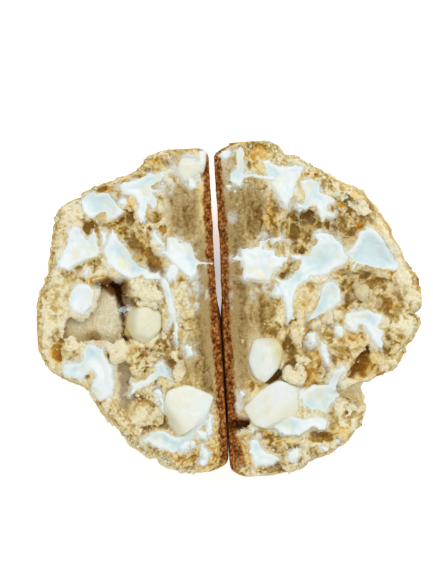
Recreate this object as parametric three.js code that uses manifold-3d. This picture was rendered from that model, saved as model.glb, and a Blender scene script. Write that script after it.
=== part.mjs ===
// A thick white chocolate macadamia cookie, broken in two. The two halves lie on their rims with the broken
// faces up and their flat baked bases towards each other. Millimetres, +Z up, X across the bases, Y along
// them. Each half is a closed skin lofted through sections at steps of Y. White chocolate and nuts sit in
// sockets.

import * as THREE from 'three';
import { mergeVertices } from 'three/addons/utils/BufferGeometryUtils.js';
import Module from 'manifold-3d';

const wasm = await Module();
wasm.setup();

// Driving dimensions
const faceHeight = 44; // broken faces above the surface that the cookie lies on
const rimDepth = 45.6; // radius of the baked rim, measured down from the broken face
const domePower = 2.3; // roundness of the top crust, 2 is an ellipse
const crownShare = 0.6; // least width of the crust where the outline closes, as a share of the break's
const stripWidth = 2.8; // browned edge of the base that shows beside the gap
const stripDrop = 2.2; // how far that edge falls away towards the gap
const rimRound = 2.6; // width over which the broken face rounds into the crust
const rimDrop = 1.4;
const socketGap = 0.3; // air between a piece and the dough around it
const chocolateDepth = 2.4; // how deep the white chocolate reaches under the broken face
const chocolateRise = 0.7; // how far it stands out of the face
const chocolateBevel = 0.55;
const basinLip = 0.4; // how far a basin's wall reaches out over its outline, as a share of the wall's width
const planeReach = 4; // distance over which the slope under a slab of white chocolate is taken
const faceUnevenness = 0.9; // height of the large lumps in the broken face
const crustUnevenness = 2.6; // and in the crust
const crumbSize = 6.5; // spacing of those lumps
const crustLumpSize = 11;

// Mesh steps of one half
const rowCount = 54;
const rowCrowding = 0.6; // 0 spaces the sections evenly, 1 crowds them at the ends
const faceSteps = 19;
const domeSteps = 12;
const baseSteps = 3;

// Outlines of the two broken faces: thickness [place along the base, height over the base]. Beyond the first
// and last place the outline closes in an elliptical cap that ends at a tip: its place, and how round the cap
// is beside the base, where 1 is an ellipse and less is squarer.
const halves = {
  left: {
    side: -1,
    crown: 50.2, // height of the round top of the crust, away from the broken face
    outline: [
      [-40.5, 17.5], [-36.5, 25], [-28.5, 31.5], [-21, 38.5], [-16.5, 45], [-12, 48.9], [-4, 50.4],
      [5, 49.4], [14, 46.2], [25, 44], [31.5, 41.2], [35, 33], [38, 23], [41, 18.8],
    ],
    lowTip: [7.5, -44.3, 1],
    highTip: [9, 44.3, 0.35],
    seam: [[-40, 0.4], [-30, 0.4], [-18, 0.5], [-6, 0.95], [20, 0.95], [40, 0.85]],
  },
  right: {
    side: 1,
    crown: 54.6,
    outline: [
      [-43, 21], [-40.5, 28], [-35, 35.5], [-30, 38.2], [-21.5, 43], [-16, 49], [-8, 53.5], [0, 55],
      [7, 53.2], [13, 49.6], [21, 46.8], [29, 41], [34, 33], [39, 25], [41.5, 19.5],
    ],
    lowTip: [6, -46.2, 1],
    highTip: [12.5, 45.3, 1],
    seam: [[-40, 0.35], [-30, 0.45], [-18, 0.5], [-6, 0.6], [10, 0.75], [20, 0.9], [40, 0.6]],
  },
};

// Bays in the outlines: place along the base, half width, how far the crust falls back
const bays = {
  left: [[-19.6, 2.6, 3.2], [32.4, 1.1, 3]],
  right: [[-24.9, 2.9, 10.5], [-4.3, 0.8, 1.8], [-13, 1, 1.2]],
};

// Round mounds and hollows of the broken faces: centre x, y, half sizes along and across, turn in degrees,
// height (a hollow is negative)
const relief = {
  left: [
    { at: [-27.4, 7], half: [3.4, 3], turn: -30, height: -1.4 },
    { at: [-20.8, 5.6], half: [5.6, 3.8], turn: -10, height: 1.4 },
    { at: [-18.8, 15.6], half: [8, 2.4], turn: -60, height: -1 },
    { at: [-29.4, -9.6], half: [3.6, 3.4], turn: 0, height: 0.9 },
    { at: [-26.8, -19.6], half: [3.8, 8.6], turn: 6, height: -1.6 },
    { at: [-45.4, -9.8], half: [2, 3.6], turn: 0, height: -1 },
    { at: [-15, -15.6], half: [2.4, 3.2], turn: 0, height: -1 },
    { at: [-34.9, 24], half: [3, 3.8], turn: -20, height: -0.8 },
    { at: [-22, -28.6], half: [4.4, 3.4], turn: 0, height: 1 },
  ],
  right: [
    { at: [28, 21], half: [11, 6], turn: -15, height: -0.8 },
    { at: [39.4, 4.4], half: [7, 5.4], turn: 10, height: -0.7 },
    { at: [38.4, -18.2], half: [5.4, 3.2], turn: 40, height: -0.8 },
    { at: [18, -12.4], half: [2.6, 4.8], turn: 0, height: -1.2 },
    { at: [14.2, -19.4], half: [2.8, 1.6], turn: 30, height: -2.2 },
    { at: [3.4, -31.8], half: [3, 2.2], turn: 0, height: -6 },
    { at: [28, -33.4], half: [2.2, 3.8], turn: -15, height: -1 },
    { at: [36.6, 28.4], half: [8, 2], turn: -36, height: 1 },
    { at: [38.6, 3.2], half: [2, 2.8], turn: 0, height: 0.7 },
    { at: [18.4, -19], half: [3.4, 2.4], turn: 10, height: 0.9 },
  ],
};

// Basins in the faces: depth, width of the wall, outline corners. A deeper part of one is a basin of its own
const basins = {
  left: [
    {
      depth: 2.9,
      wall: 2.2,
      corners: [
        [-33.5, 9.2], [-29, 10.4], [-25.6, 8.8], [-25.2, 3], [-25.6, -2], [-25.4, -6.8], [-30, -8.4],
        [-36, -7.4], [-42.6, -5.4], [-43.6, -2], [-41, 0.4], [-36.6, 0.2], [-34, 2.8], [-33.6, 6],
      ],
    },
    {
      depth: 1.7,
      wall: 1.8,
      corners: [
        [-31, 9.4], [-28.6, 10], [-25.8, 8.4], [-25.4, 3], [-25.8, -2.4], [-27, -2], [-27.4, 4], [-29, 6.8],
      ],
    },
  ],
  right: [
    {
      depth: 2.4,
      wall: 1.8,
      corners: [
        [32.2, -20.7], [34.6, -18], [36.5, -15.6], [38.6, -13.4], [40.8, -11.4], [39.8, -14.4], [37.6, -17.8],
        [35, -20.4],
      ],
    },
    { depth: 1.1, wall: 1.8, corners: [[33.4, -21.2], [40.8, -12], [40.6, -16.4], [38, -20.4]] },
  ],
};

// White chocolate on the broken faces, each an outline of x, y corners
const chocolates = {
  chocolate_left_top: [
    [-36.2, 32], [-33.9, 33.8], [-28.8, 33.5], [-24.9, 28], [-27, 26.2], [-29.5, 26], [-30.2, 27.8],
    [-33.4, 26.6], [-36.3, 30],
  ],
  chocolate_left_fork: [
    [-25.8, 34], [-22, 36.6], [-17.4, 38], [-13.4, 35], [-15.4, 31.6], [-17.4, 29.6], [-20.6, 29.2],
    [-20.2, 25], [-22.8, 25.6], [-22.6, 30.2],
  ],
  chocolate_left_star: [
    [-38.8, 24.4], [-37.2, 24.4], [-35.2, 21], [-33.2, 21.9], [-32.1, 17.6], [-37.2, 14.8], [-43.4, 13.8],
    [-41.2, 19.4],
  ],
  chocolate_left_triangle: [
    [-28.3, 22.8], [-21.6, 13], [-15.8, 9.2], [-19.9, 9.2], [-21.3, 10.3], [-24.6, 9.6], [-29.8, 14],
    [-30.8, 17.8],
  ],
  chocolate_left_streak: [
    [-15.4, 8.4], [-13.6, 8.2], [-12.6, 4], [-12.3, -1], [-13.8, -1.2], [-15, 3.6],
  ],
  chocolate_left_comet: [
    [-13.4, 20.2], [-11.3, 19.8], [-7.4, 18.2], [-5, 13.6], [-6, 9.6], [-7.6, 8.6], [-10.7, 11.6],
    [-14.6, 16],
  ],
  chocolate_left_oval: [
    [-41.2, 4.6], [-39.8, 8], [-36.6, 9], [-34.4, 6.8], [-34.9, 3], [-37.8, 0.6], [-40.4, 1.6],
  ],
  chocolate_left_hook: [
    [-37, -7.8], [-34, -8.4], [-31.8, -11.5], [-30.1, -16.4], [-30.7, -21.4], [-34, -23.2], [-36.6, -20.6],
    [-35, -16.6], [-35.6, -14.6], [-39.7, -16.8], [-43.6, -15.2], [-43.2, -12.6], [-38.5, -13],
  ],
  chocolate_left_curl: [
    [-25.8, -21.6], [-25, -19], [-21.5, -17.4], [-18.2, -13.8], [-16.4, -14.2], [-14.4, -18.6],
    [-17.6, -17.4], [-21.2, -19.4],
  ],
  chocolate_left_foot: [
    [-22.6, -34.6], [-19.2, -32], [-17, -32.6], [-13.6, -34.9], [-9.4, -33.4], [-11, -37.6], [-16, -38.4],
    [-20, -37],
  ],
  chocolate_right_bar: [
    [6.6, 42], [8, 43.8], [9.2, 42.4], [8.4, 36.1], [7.4, 33], [4.8, 34.8], [5, 36.8], [6.6, 38.4],
  ],
  chocolate_right_tooth: [
    [13.8, 39.3], [18, 38], [25, 37.5], [22.8, 33.8], [19.8, 26.6], [16.2, 32.4],
  ],
  chocolate_right_branch: [
    [26.4, 33.6], [28.6, 32.4], [30.6, 29.4], [33, 27.6], [31, 26.4], [32.4, 23.6], [29.4, 22.8],
    [27.4, 26], [22.4, 26.4], [24.3, 28.2], [24, 33],
  ],
  chocolate_right_wedge: [
    [38.9, 18.6], [42, 19.6], [45.6, 16], [48.6, 9.4], [47.6, 7.9], [43.2, 8.8], [37.8, 10.2], [36.2, 13.8],
  ],
  chocolate_right_sweep: [
    [27.2, 19], [31.8, 18.2], [34.4, 15.2], [34.8, 11], [29.4, 7.8], [24.9, 7.8], [21, 4.6], [19.4, 0.4],
    [18.6, -4.4], [17.2, -1], [16, 5.4], [21.7, 9.4], [25.2, 12.4],
  ],
  chocolate_right_tail: [
    [29.4, 6], [31.5, 5.6], [32.9, 2.6], [31.8, -0.6], [28.7, -2], [24.6, -4.4], [25.4, -0.6], [27.2, 3.8],
  ],
  chocolate_right_star: [
    [6.4, 15.9], [11.2, 16.3], [15.4, 14.8], [18.4, 12.2], [15.2, 9.9], [13.7, 7.4], [10.1, 7.3], [7, 8.4],
  ],
  chocolate_right_saddle: [
    [34, -3.2], [40.4, -2.7], [43.6, -4.4], [42.8, -7.4], [43.6, -12.4], [40.4, -10.6], [38.8, -7.2],
    [35.4, -7.6],
  ],
  chocolate_right_arm: [
    [21.2, -23.6], [28, -22.3], [32.2, -17.4], [31.2, -20.8], [30.5, -25.2], [27.2, -29.2], [22.2, -28.4],
  ],
  chocolate_right_shelf: [
    [12.6, -34.6], [15, -31.8], [20, -30.4], [27.2, -31.4], [26.6, -34.2], [19.6, -35.4], [15.6, -36.2],
  ],
  chocolate_right_foot: [
    [6.2, -36.4], [8.2, -36.6], [9.4, -39.2], [13, -41.2], [11, -43], [7.4, -43.4], [6.4, -40.6],
  ],
};

// Macadamia pieces: centre, depth of the centre under the face, how blunt the edges are (a low number is
// rounder), splits of the mesh, and flat sides as [azimuth, elevation, distance from the centre]
const nuts = {
  nut_left_top: {
    at: [-6.6, 38.8], under: 3.3, sharpness: 9, detail: 2,
    sides: [
      [134, 0, 4.1], [-148, 0, 3.5], [-109, 0, 4.2], [-24, 0, 4.5], [0, 0, 5.2], [87, 0, 5],
      [80, 84, 3.5], [-60, 62, 4.1], [190, 50, 4.4], [0, -85, 4.6],
    ],
  },
  nut_left_middle: {
    at: [-21.2, -3.4], under: 1.8, sharpness: 9, detail: 2,
    sides: [
      [148, 0, 5.7], [-157, 0, 4.5], [-126, 0, 4.7], [-46, 0, 4.2], [0, 0, 5], [63, 0, 5.5], [98, 0, 5.4],
      [4, 72, 3.9], [168, 44, 4.3], [-100, 40, 4.6], [0, -85, 5],
    ],
  },
  nut_left_large: {
    at: [-10.6, -27], under: 2.4, sharpness: 20, detail: 3,
    sides: [
      [159, 0, 6.8], [-170, 0, 6.8], [-139, 0, 7.1], [-65, 0, 5.3], [-21, 0, 5.9], [64, 0, 6.5],
      [105, 0, 6.7], [70, 84, 4.1], [206, 48, 5.6], [-40, 50, 5.8], [0, -80, 5.6],
    ],
  },
  nut_right_small: {
    at: [11.6, -14.3], under: 1.2, sharpness: 11, detail: 2,
    sides: [
      [159, 0, 4.9], [-163, 0, 4.9], [-120, 0, 6.1], [-46, 0, 4.4], [-16, 0, 4.2], [24, 0, 5.4], [92, 0, 6.1],
      [172, 68, 3.9], [-8, 60, 4], [84, 44, 4.9], [0, -85, 5.2],
    ],
  },
  nut_right_large: {
    at: [13.2, -27.2], under: 2.2, sharpness: 22, detail: 3,
    sides: [
      [132, 0, 5.7], [-151, 0, 7.7], [-111, 0, 6.7], [-58, 0, 5.4], [7, 0, 7.1], [66, 0, 7.1], [114, 0, 5.8],
      [160, 80, 4], [-15, 74, 4.2], [-66, 40, 5.6], [0, -80, 5.6],
    ],
  },
};

// Finishes
const doughMaterial = new THREE.MeshStandardMaterial({ color: 0xd9c08c, roughness: 0.85, metalness: 0 });
const chocolateMaterial = new THREE.MeshStandardMaterial({ color: 0xe6f0f0, roughness: 0.4, metalness: 0 });
const nutMaterial = new THREE.MeshStandardMaterial({ color: 0xeeeedc, roughness: 0.45, metalness: 0 });

function smoothStep(low, high, value) {
  const t = THREE.MathUtils.clamp((value - low) / (high - low), 0, 1);
  return t * t * (3 - 2 * t);
}

// Value noise: a repeatable number at each corner of a cubic lattice, blended between the corners
function latticeValue(i, j, k) {
  const mixed = Math.sin(i * 127.1 + j * 311.7 + k * 74.7) * 43758.5453;
  return 2 * (mixed - Math.floor(mixed)) - 1;
}

function noise(x, y, z) {
  const corner = [Math.floor(x), Math.floor(y), Math.floor(z)];
  const blend = [x - corner[0], y - corner[1], z - corner[2]].map((t) => t * t * (3 - 2 * t));
  let total = 0;
  for (let bits = 0; bits < 8; bits += 1) {
    const step = [bits & 1, (bits >> 1) & 1, bits >> 2];
    const weight = step.reduce((product, s, axis) => product * (s ? blend[axis] : 1 - blend[axis]), 1);
    total += weight * latticeValue(corner[0] + step[0], corner[1] + step[1], corner[2] + step[2]);
  }
  return total;
}

// Smooth line through points [place, value], flat beyond the ends
function curveAt(points, place) {
  const last = points.length - 1;
  if (place <= points[0][0]) return points[0][1];
  if (place >= points[last][0]) return points[last][1];
  const i = points.findIndex((point) => point[0] > place) - 1;
  const slope = (a, b) => (points[b][1] - points[a][1]) / (points[b][0] - points[a][0]);
  const startSlope = slope(Math.max(i - 1, 0), i + 1);
  const endSlope = slope(i, Math.min(i + 2, last));
  const span = points[i + 1][0] - points[i][0];
  const t = (place - points[i][0]) / span;
  return (1 + 2 * t) * (1 - t) ** 2 * points[i][1] + t * (1 - t) ** 2 * span * startSlope
    + t * t * (3 - 2 * t) * points[i + 1][1] + t * t * (t - 1) * span * endSlope;
}

// Base edge and crust of a broken face at one place along the base, as distances from the seam plane
function faceSpan(name, y) {
  const half = halves[name];
  const low = half.outline[0];
  const high = half.outline[half.outline.length - 1];
  const bay = bays[name].reduce(
    (sum, [place, halfWidth, depth]) => sum + depth * Math.exp(-(((y - place) / halfWidth) ** 2)), 0);
  const flat = THREE.MathUtils.clamp(y, low[0], high[0]);
  const near = curveAt(half.seam, flat);
  const far = curveAt(half.outline, flat);
  if (y === flat) return [near, far - bay];
  const [tipX, tipY, roundness] = y > flat ? half.highTip : half.lowTip;
  const closing = Math.sqrt(Math.max(0, 1 - ((y - flat) / (tipY - flat)) ** 2));
  return [tipX + (near - tipX) * closing ** roundness, tipX + (far - bay - tipX) * closing];
}

// Height of the broken face at x, y over or under its mean plane, without the basins and small crumbs
function faceRelief(name, x, y) {
  return relief[name].reduce((height, { at, half, turn, height: peak }) => {
    const angle = THREE.MathUtils.degToRad(turn);
    const along = ((x - at[0]) * Math.cos(angle) + (y - at[1]) * Math.sin(angle)) / half[0];
    const across = ((y - at[1]) * Math.cos(angle) - (x - at[0]) * Math.sin(angle)) / half[1];
    return height + peak * Math.max(0, 1 - along * along - across * across) ** 1.5;
  }, 0);
}

// Distance from x, y to a closed outline, negative inside it
function outlineDistance(corners, x, y) {
  let nearest = Infinity;
  let inside = false;
  corners.forEach(([ax, ay], i) => {
    const [bx, by] = corners[(i + 1) % corners.length];
    const [ex, ey] = [bx - ax, by - ay];
    const t = THREE.MathUtils.clamp(((x - ax) * ex + (y - ay) * ey) / (ex * ex + ey * ey), 0, 1);
    nearest = Math.min(nearest, Math.hypot(x - ax - t * ex, y - ay - t * ey));
    if (ay > y !== by > y && x < (ex * (y - ay)) / ey + ax) inside = !inside;
  });
  return inside ? -nearest : nearest;
}

function basinDepth(name, x, y) {
  return basins[name].reduce((sum, { corners, depth, wall }) => (
    sum + depth * (1 - smoothStep(-wall, basinLip * wall, outlineDistance(corners, x, y)))), 0);
}

// Point of one half: row runs along Y from -1 to 1, column counts round the section from the base edge over
// the broken face, round the crust and up the base
function halfPoint(name, row, column) {
  const { side, crown, lowTip, highTip } = halves[name];
  const bent = rowCrowding * Math.sin((row * Math.PI) / 2) + (1 - rowCrowding) * row;
  const y = (highTip[1] + lowTip[1]) / 2 + (bent * (highTip[1] - lowTip[1])) / 2;
  const [near, far] = faceSpan(name, y);
  const spread = Math.sqrt(Math.max(0, 1 - bent * bent));
  const deepest = faceHeight - rimDepth * spread;

  const faceAt = (t) => {
    const x = near + (far - near) * t;
    const strip = stripDrop * (1 - smoothStep(0, stripWidth, x - near));
    const edge = rimDrop * smoothStep(rimRound, 0, far - x);
    const lumps = faceUnevenness * noise((side * x) / crumbSize, y / crumbSize, 0.5)
      * smoothStep(stripWidth, 12, x) * smoothStep(0, rimRound, far - x);
    const level = faceHeight + faceRelief(name, side * x, y) - basinDepth(name, side * x, y) + lumps;
    return [x, level - (strip + edge) * Math.min(1, spread * 3)];
  };

  if (column <= faceSteps) {
    const [x, z] = faceAt(column / faceSteps);
    return [side * x, y, z];
  }
  const domeColumn = column - faceSteps;
  if (domeColumn <= domeSteps) {
    const angle = ((domeColumn / domeSteps) * Math.PI) / 2;
    const start = faceAt(1);
    const round = crown * (1 - Math.abs(bent) ** domePower) ** (1 / domePower);
    const settled = smoothStep(0, 0.8, Math.sin(angle)); // the break's bays fade into the round crust
    const width = THREE.MathUtils.lerp(far - near, Math.max(round, far * crownShare) - near, settled);
    const x = near + width * Math.cos(angle) ** (2 / domePower);
    const z = start[1] + (deepest - start[1]) * Math.sin(angle) ** (2 / domePower);
    const crag = crustUnevenness * noise((side * x) / crustLumpSize, y / crustLumpSize, z / crustLumpSize)
      * Math.sin(2 * angle) * spread;
    return [side * (x + crag * Math.cos(angle)), y, Math.max(0, z - crag * Math.sin(angle))];
  }
  const baseColumn = domeColumn - domeSteps;
  const edge = faceAt(0);
  return [side * near, y, Math.max(0, deepest + ((edge[1] - deepest) * baseColumn) / (baseSteps + 1))];
}

// Closed skin of one half: a grid of rows and loop columns with a single point at each end
function doughGeometry(name) {
  const { side, lowTip, highTip } = halves[name];
  const loop = faceSteps + domeSteps + baseSteps + 1;
  const positions = [];
  for (let row = 1; row < rowCount; row += 1) {
    for (let column = 0; column < loop; column += 1) {
      positions.push(...halfPoint(name, (2 * row) / rowCount - 1, column));
    }
  }
  const bands = rowCount - 2;
  const lowPole = (rowCount - 1) * loop;
  positions.push(side * lowTip[0], lowTip[1], faceHeight - rimDrop);
  positions.push(side * highTip[0], highTip[1], faceHeight - rimDrop);
  const index = [];
  const addTriangle = (a, b, c) => (side > 0 ? index.push(a, b, c) : index.push(a, c, b));
  for (let column = 0; column < loop; column += 1) {
    const next = (column + 1) % loop;
    for (let band = 0; band < bands; band += 1) {
      const here = band * loop;
      const above = here + loop;
      addTriangle(here + column, here + next, above + next);
      addTriangle(here + column, above + next, above + column);
    }
    addTriangle(lowPole, next, column);
    addTriangle(lowPole + 1, bands * loop + column, bands * loop + next);
  }
  const geometry = new THREE.BufferGeometry();
  geometry.setAttribute('position', new THREE.Float32BufferAttribute(positions, 3));
  geometry.setIndex(index);
  return geometry;
}

// Mean plane of the broken face round a place: its height there and its slopes along X and Y
function facePlane(name, [x, y]) {
  const rise = (dx, dy) => faceRelief(name, x + dx, y + dy) - faceRelief(name, x - dx, y - dy);
  return {
    level: faceRelief(name, x, y),
    slopeX: rise(planeReach, 0) / (2 * planeReach),
    slopeY: rise(0, planeReach) / (2 * planeReach),
  };
}

// Slab of white chocolate that lies in the plane of the face round it. grow makes it larger for its socket
function chocolateGeometry(name, corners, grow) {
  const shape = new THREE.Shape(corners.map(([x, y]) => new THREE.Vector2(x, y)));
  const geometry = new THREE.ExtrudeGeometry(shape, {
    depth: chocolateDepth + chocolateRise - 2 * chocolateBevel + 2 * grow,
    steps: 1,
    bevelEnabled: true,
    bevelSegments: 1,
    bevelThickness: chocolateBevel,
    bevelSize: chocolateBevel,
    bevelOffset: grow - chocolateBevel,
  });
  const mean = (axis) => corners.reduce((sum, corner) => sum + corner[axis], 0) / corners.length;
  const middle = [mean(0), mean(1)];
  const plane = facePlane(name.includes('_left_') ? 'left' : 'right', middle);
  const bottom = faceHeight + plane.level - chocolateDepth + chocolateBevel - grow;
  const position = geometry.attributes.position;
  for (let i = 0; i < position.count; i += 1) {
    const tiltX = plane.slopeX * (position.getX(i) - middle[0]);
    const tiltY = plane.slopeY * (position.getY(i) - middle[1]);
    position.setZ(i, position.getZ(i) + bottom + tiltX + tiltY);
  }
  return geometry;
}

// Macadamia piece: each direction reaches as far as the nearest flat side allows, blended so edges are blunt
function nutGeometry(name, { at, under, sharpness, detail, sides }, grow) {
  const geometry = new THREE.IcosahedronGeometry(1, detail);
  const position = geometry.attributes.position;
  const planes = sides.map(([azimuth, elevation, distance]) => {
    const turn = THREE.MathUtils.degToRad(azimuth);
    const lift = THREE.MathUtils.degToRad(elevation);
    const flatShare = Math.cos(lift);
    const normal = new THREE.Vector3(Math.cos(turn) * flatShare, Math.sin(turn) * flatShare, Math.sin(lift));
    return { normal, distance };
  });
  const half = name.includes('_left_') ? 'left' : 'right';
  const level = faceHeight - under + faceRelief(half, at[0], at[1]);
  const direction = new THREE.Vector3();
  for (let i = 0; i < position.count; i += 1) {
    direction.fromBufferAttribute(position, i).normalize();
    const crowd = planes.reduce(
      (sum, plane) => sum + Math.max(0, plane.normal.dot(direction) / plane.distance) ** sharpness, 0);
    const reach = crowd ** (-1 / sharpness) + grow;
    position.setXYZ(i, at[0] + direction.x * reach, at[1] + direction.y * reach, level + direction.z * reach);
  }
  return geometry;
}

// three.js geometry to a solid and back
function toSolid(geometry) {
  geometry.deleteAttribute('normal');
  geometry.deleteAttribute('uv');
  const merged = mergeVertices(geometry, 1e-4);
  const vertProperties = new Float32Array(merged.attributes.position.array);
  const triVerts = new Uint32Array(merged.index.array);
  return new wasm.Manifold(new wasm.Mesh({ numProp: 3, vertProperties, triVerts }));
}

function toMesh(solid, name, material) {
  const { vertProperties, triVerts } = solid.getMesh();
  const geometry = new THREE.BufferGeometry();
  geometry.setAttribute('position', new THREE.Float32BufferAttribute(vertProperties, 3));
  geometry.setIndex(new THREE.Uint32BufferAttribute(triVerts, 1));
  geometry.computeVertexNormals();
  const mesh = new THREE.Mesh(geometry, material);
  mesh.name = name;
  return mesh;
}

// The largest part of a cut solid, without loose scraps
function largestPart(solid) {
  const parts = solid.decompose();
  return parts.reduce((best, part) => (part.volume() > best.volume() ? part : best));
}

// Every inclusion with the space it needs, nuts first because the chocolate ran round them
const inclusions = [
  ...Object.entries(nuts).map(([name, nut]) => ({
    name,
    material: nutMaterial,
    solid: toSolid(nutGeometry(name, nut, 0)),
    socket: toSolid(nutGeometry(name, nut, socketGap)),
  })),
  ...Object.entries(chocolates).map(([name, corners]) => ({
    name,
    material: chocolateMaterial,
    solid: toSolid(chocolateGeometry(name, corners, 0)),
    socket: toSolid(chocolateGeometry(name, corners, socketGap)),
  })),
];

const cookie = new THREE.Group();
const dough = {
  left: toSolid(doughGeometry('left')),
  right: toSolid(doughGeometry('right')),
};

inclusions.forEach((piece, order) => {
  const half = piece.name.includes('_left_') ? 'left' : 'right';
  const earlier = inclusions.slice(0, order).filter((other) => other.name.includes(`_${half}_`));
  const freed = earlier.reduce((solid, other) => solid.subtract(other.socket), piece.solid);
  dough[half] = dough[half].subtract(piece.socket);
  cookie.add(toMesh(largestPart(freed), piece.name, piece.material));
});

cookie.add(toMesh(largestPart(dough.left), 'dough_left', doughMaterial));
cookie.add(toMesh(largestPart(dough.right), 'dough_right', doughMaterial));

// Everything above is measured from the seam. The cookie's own origin is under the middle of its extent
const extent = new THREE.Box3().setFromObject(cookie);
const middle = extent.getCenter(new THREE.Vector3());
cookie.position.set(-middle.x, -middle.y, -extent.min.z);

export default cookie;
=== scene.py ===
# Thick cookie with white chocolate and macadamia nuts, broken in two: its looks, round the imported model.
# Shapes are worked out in millimetres from the seam between the two bases (x across it, y along it, z up
# from the floor). newPiece moves them to their place in the frame and turns them into metres.

import math
from itertools import product

import bpy
import numpy as np
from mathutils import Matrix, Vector


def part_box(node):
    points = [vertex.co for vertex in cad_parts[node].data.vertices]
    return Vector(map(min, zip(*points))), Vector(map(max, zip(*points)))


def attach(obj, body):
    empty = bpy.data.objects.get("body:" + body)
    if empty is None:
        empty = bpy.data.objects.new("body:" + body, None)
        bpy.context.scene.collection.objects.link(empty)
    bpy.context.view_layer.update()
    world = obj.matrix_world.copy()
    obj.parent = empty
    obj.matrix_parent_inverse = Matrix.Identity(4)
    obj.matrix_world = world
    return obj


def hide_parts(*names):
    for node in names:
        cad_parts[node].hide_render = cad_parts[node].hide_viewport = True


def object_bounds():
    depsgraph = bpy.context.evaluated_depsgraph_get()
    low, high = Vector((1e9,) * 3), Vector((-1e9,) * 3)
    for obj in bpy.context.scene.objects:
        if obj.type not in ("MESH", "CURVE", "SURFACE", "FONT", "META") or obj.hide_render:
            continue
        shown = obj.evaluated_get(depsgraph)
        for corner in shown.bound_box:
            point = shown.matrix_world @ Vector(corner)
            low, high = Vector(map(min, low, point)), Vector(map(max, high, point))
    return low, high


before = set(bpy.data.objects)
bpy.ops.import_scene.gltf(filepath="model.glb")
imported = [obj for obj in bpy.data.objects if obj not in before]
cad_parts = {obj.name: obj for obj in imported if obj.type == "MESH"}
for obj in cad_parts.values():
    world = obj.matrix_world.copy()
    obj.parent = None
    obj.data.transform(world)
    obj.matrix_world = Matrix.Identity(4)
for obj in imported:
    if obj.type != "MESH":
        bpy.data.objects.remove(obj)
cadLow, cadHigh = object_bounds()
print("frame loaded with", len(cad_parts), "nodes")

# Main form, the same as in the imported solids
cookie = {
    "faceHeight": 44.0,  # broken faces above the floor
    "rimDepth": 45.6,  # radius of the baked rim under them
    "domePower": 2.3,
    "crownShare": 0.6,
    "stripWidth": 2.8,  # browned edge of the base beside the gap
    "touching": 0.02,  # half of what is left of the gap where the bases come together
    "stripDrop": 2.2,
    "rimRound": 2.6,
    "rimDrop": 1.4,
    "faceUnevenness": 0.9,
    "crustUnevenness": 2.6,
    "lumpSize": 6.5,
    "crustLumpSize": 11.0,
    "nutRadius": 5.5,  # of a mean nut, which turns its gauge into a distance
    "planeReach": 4.0,  # distance over which the slope under a slab of chocolate is taken
}

halves = {
    "left": {
        "side": -1,
        "rimBeads": 0.9,
        "crown": 50.2,
        "outline": [
            [-40.5, 17.5], [-36.5, 25], [-28.5, 31.5], [-21, 38.5], [-16.5, 45], [-12, 48.9], [-4, 50.4],
            [5, 49.4], [14, 46.2], [25, 44], [31.5, 41.2], [35, 33], [38, 23], [41, 18.8],
        ],
        "lowTip": [7.5, -44.3, 1],
        "highTip": [9, 44.3, 0.35],  # place, and how square the corner by the base is, 1 for round
        "seam": [[-40, 0.4], [-30, 0.4], [-18, 0.5], [-6, 0.95], [20, 0.95], [40, 0.85]],
        "bays": [[-19.6, 2.6, 3.2], [32.4, 1.1, 3]],  # place, width and depth
    },
    "right": {
        "side": 1,
        "rimBeads": 0.45,
        "crown": 54.6,
        "outline": [
            [-43, 21], [-40.5, 28], [-35, 35.5], [-30, 38.2], [-21.5, 43], [-16, 49], [-8, 53.5], [0, 55],
            [7, 53.2], [13, 49.6], [21, 46.8], [29, 41], [34, 33], [39, 25], [41.5, 19.5],
        ],
        "lowTip": [6, -46.2, 1],
        "highTip": [12.5, 45.3, 1],
        "seam": [[-40, 0.35], [-30, 0.45], [-18, 0.5], [-6, 0.6], [10, 0.75], [20, 0.9], [40, 0.6]],
        "bays": [[-24.9, 2.9, 10.5], [-4.3, 0.8, 1.8], [-13, 1, 1.2]],
    },
}

# Hollows and lumps of the broken faces: middle x and y, half sizes, turn in degrees, height
relief = {
    "left": [
        [-27.4, 7, 3.4, 3, -30, -1.4], [-20.8, 5.6, 5.6, 3.8, -10, 1.4], [-18.8, 15.6, 8, 2.4, -60, -1],
        [-29.4, -9.6, 3.6, 3.4, 0, 0.9], [-26.8, -19.6, 3.8, 8.6, 6, -1.6], [-45.4, -9.8, 2, 3.6, 0, -1],
        [-15, -15.6, 2.4, 3.2, 0, -1], [-34.9, 24, 3, 3.8, -20, -0.8], [-22, -28.6, 4.4, 3.4, 0, 1],
    ],
    "right": [
        [28, 21, 11, 6, -15, -0.8], [39.4, 4.4, 7, 5.4, 10, -0.7], [38.4, -18.2, 5.4, 3.2, 40, -0.8],
        [18, -12.4, 2.6, 4.8, 0, -1.2], [14.2, -19.4, 2.8, 1.6, 30, -2.2], [3.4, -31.8, 3, 2.2, 0, -6],
        [28, -33.4, 2.2, 3.8, -15, -1], [36.6, 28.4, 8, 2, -36, 1], [38.6, 3.2, 2, 2.8, 0, 0.7],
        [36, 29.6, 7, 0.9, -38, 0.7], [18.4, -19, 3.4, 2.4, 10, 0.9],
    ],
}

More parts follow.
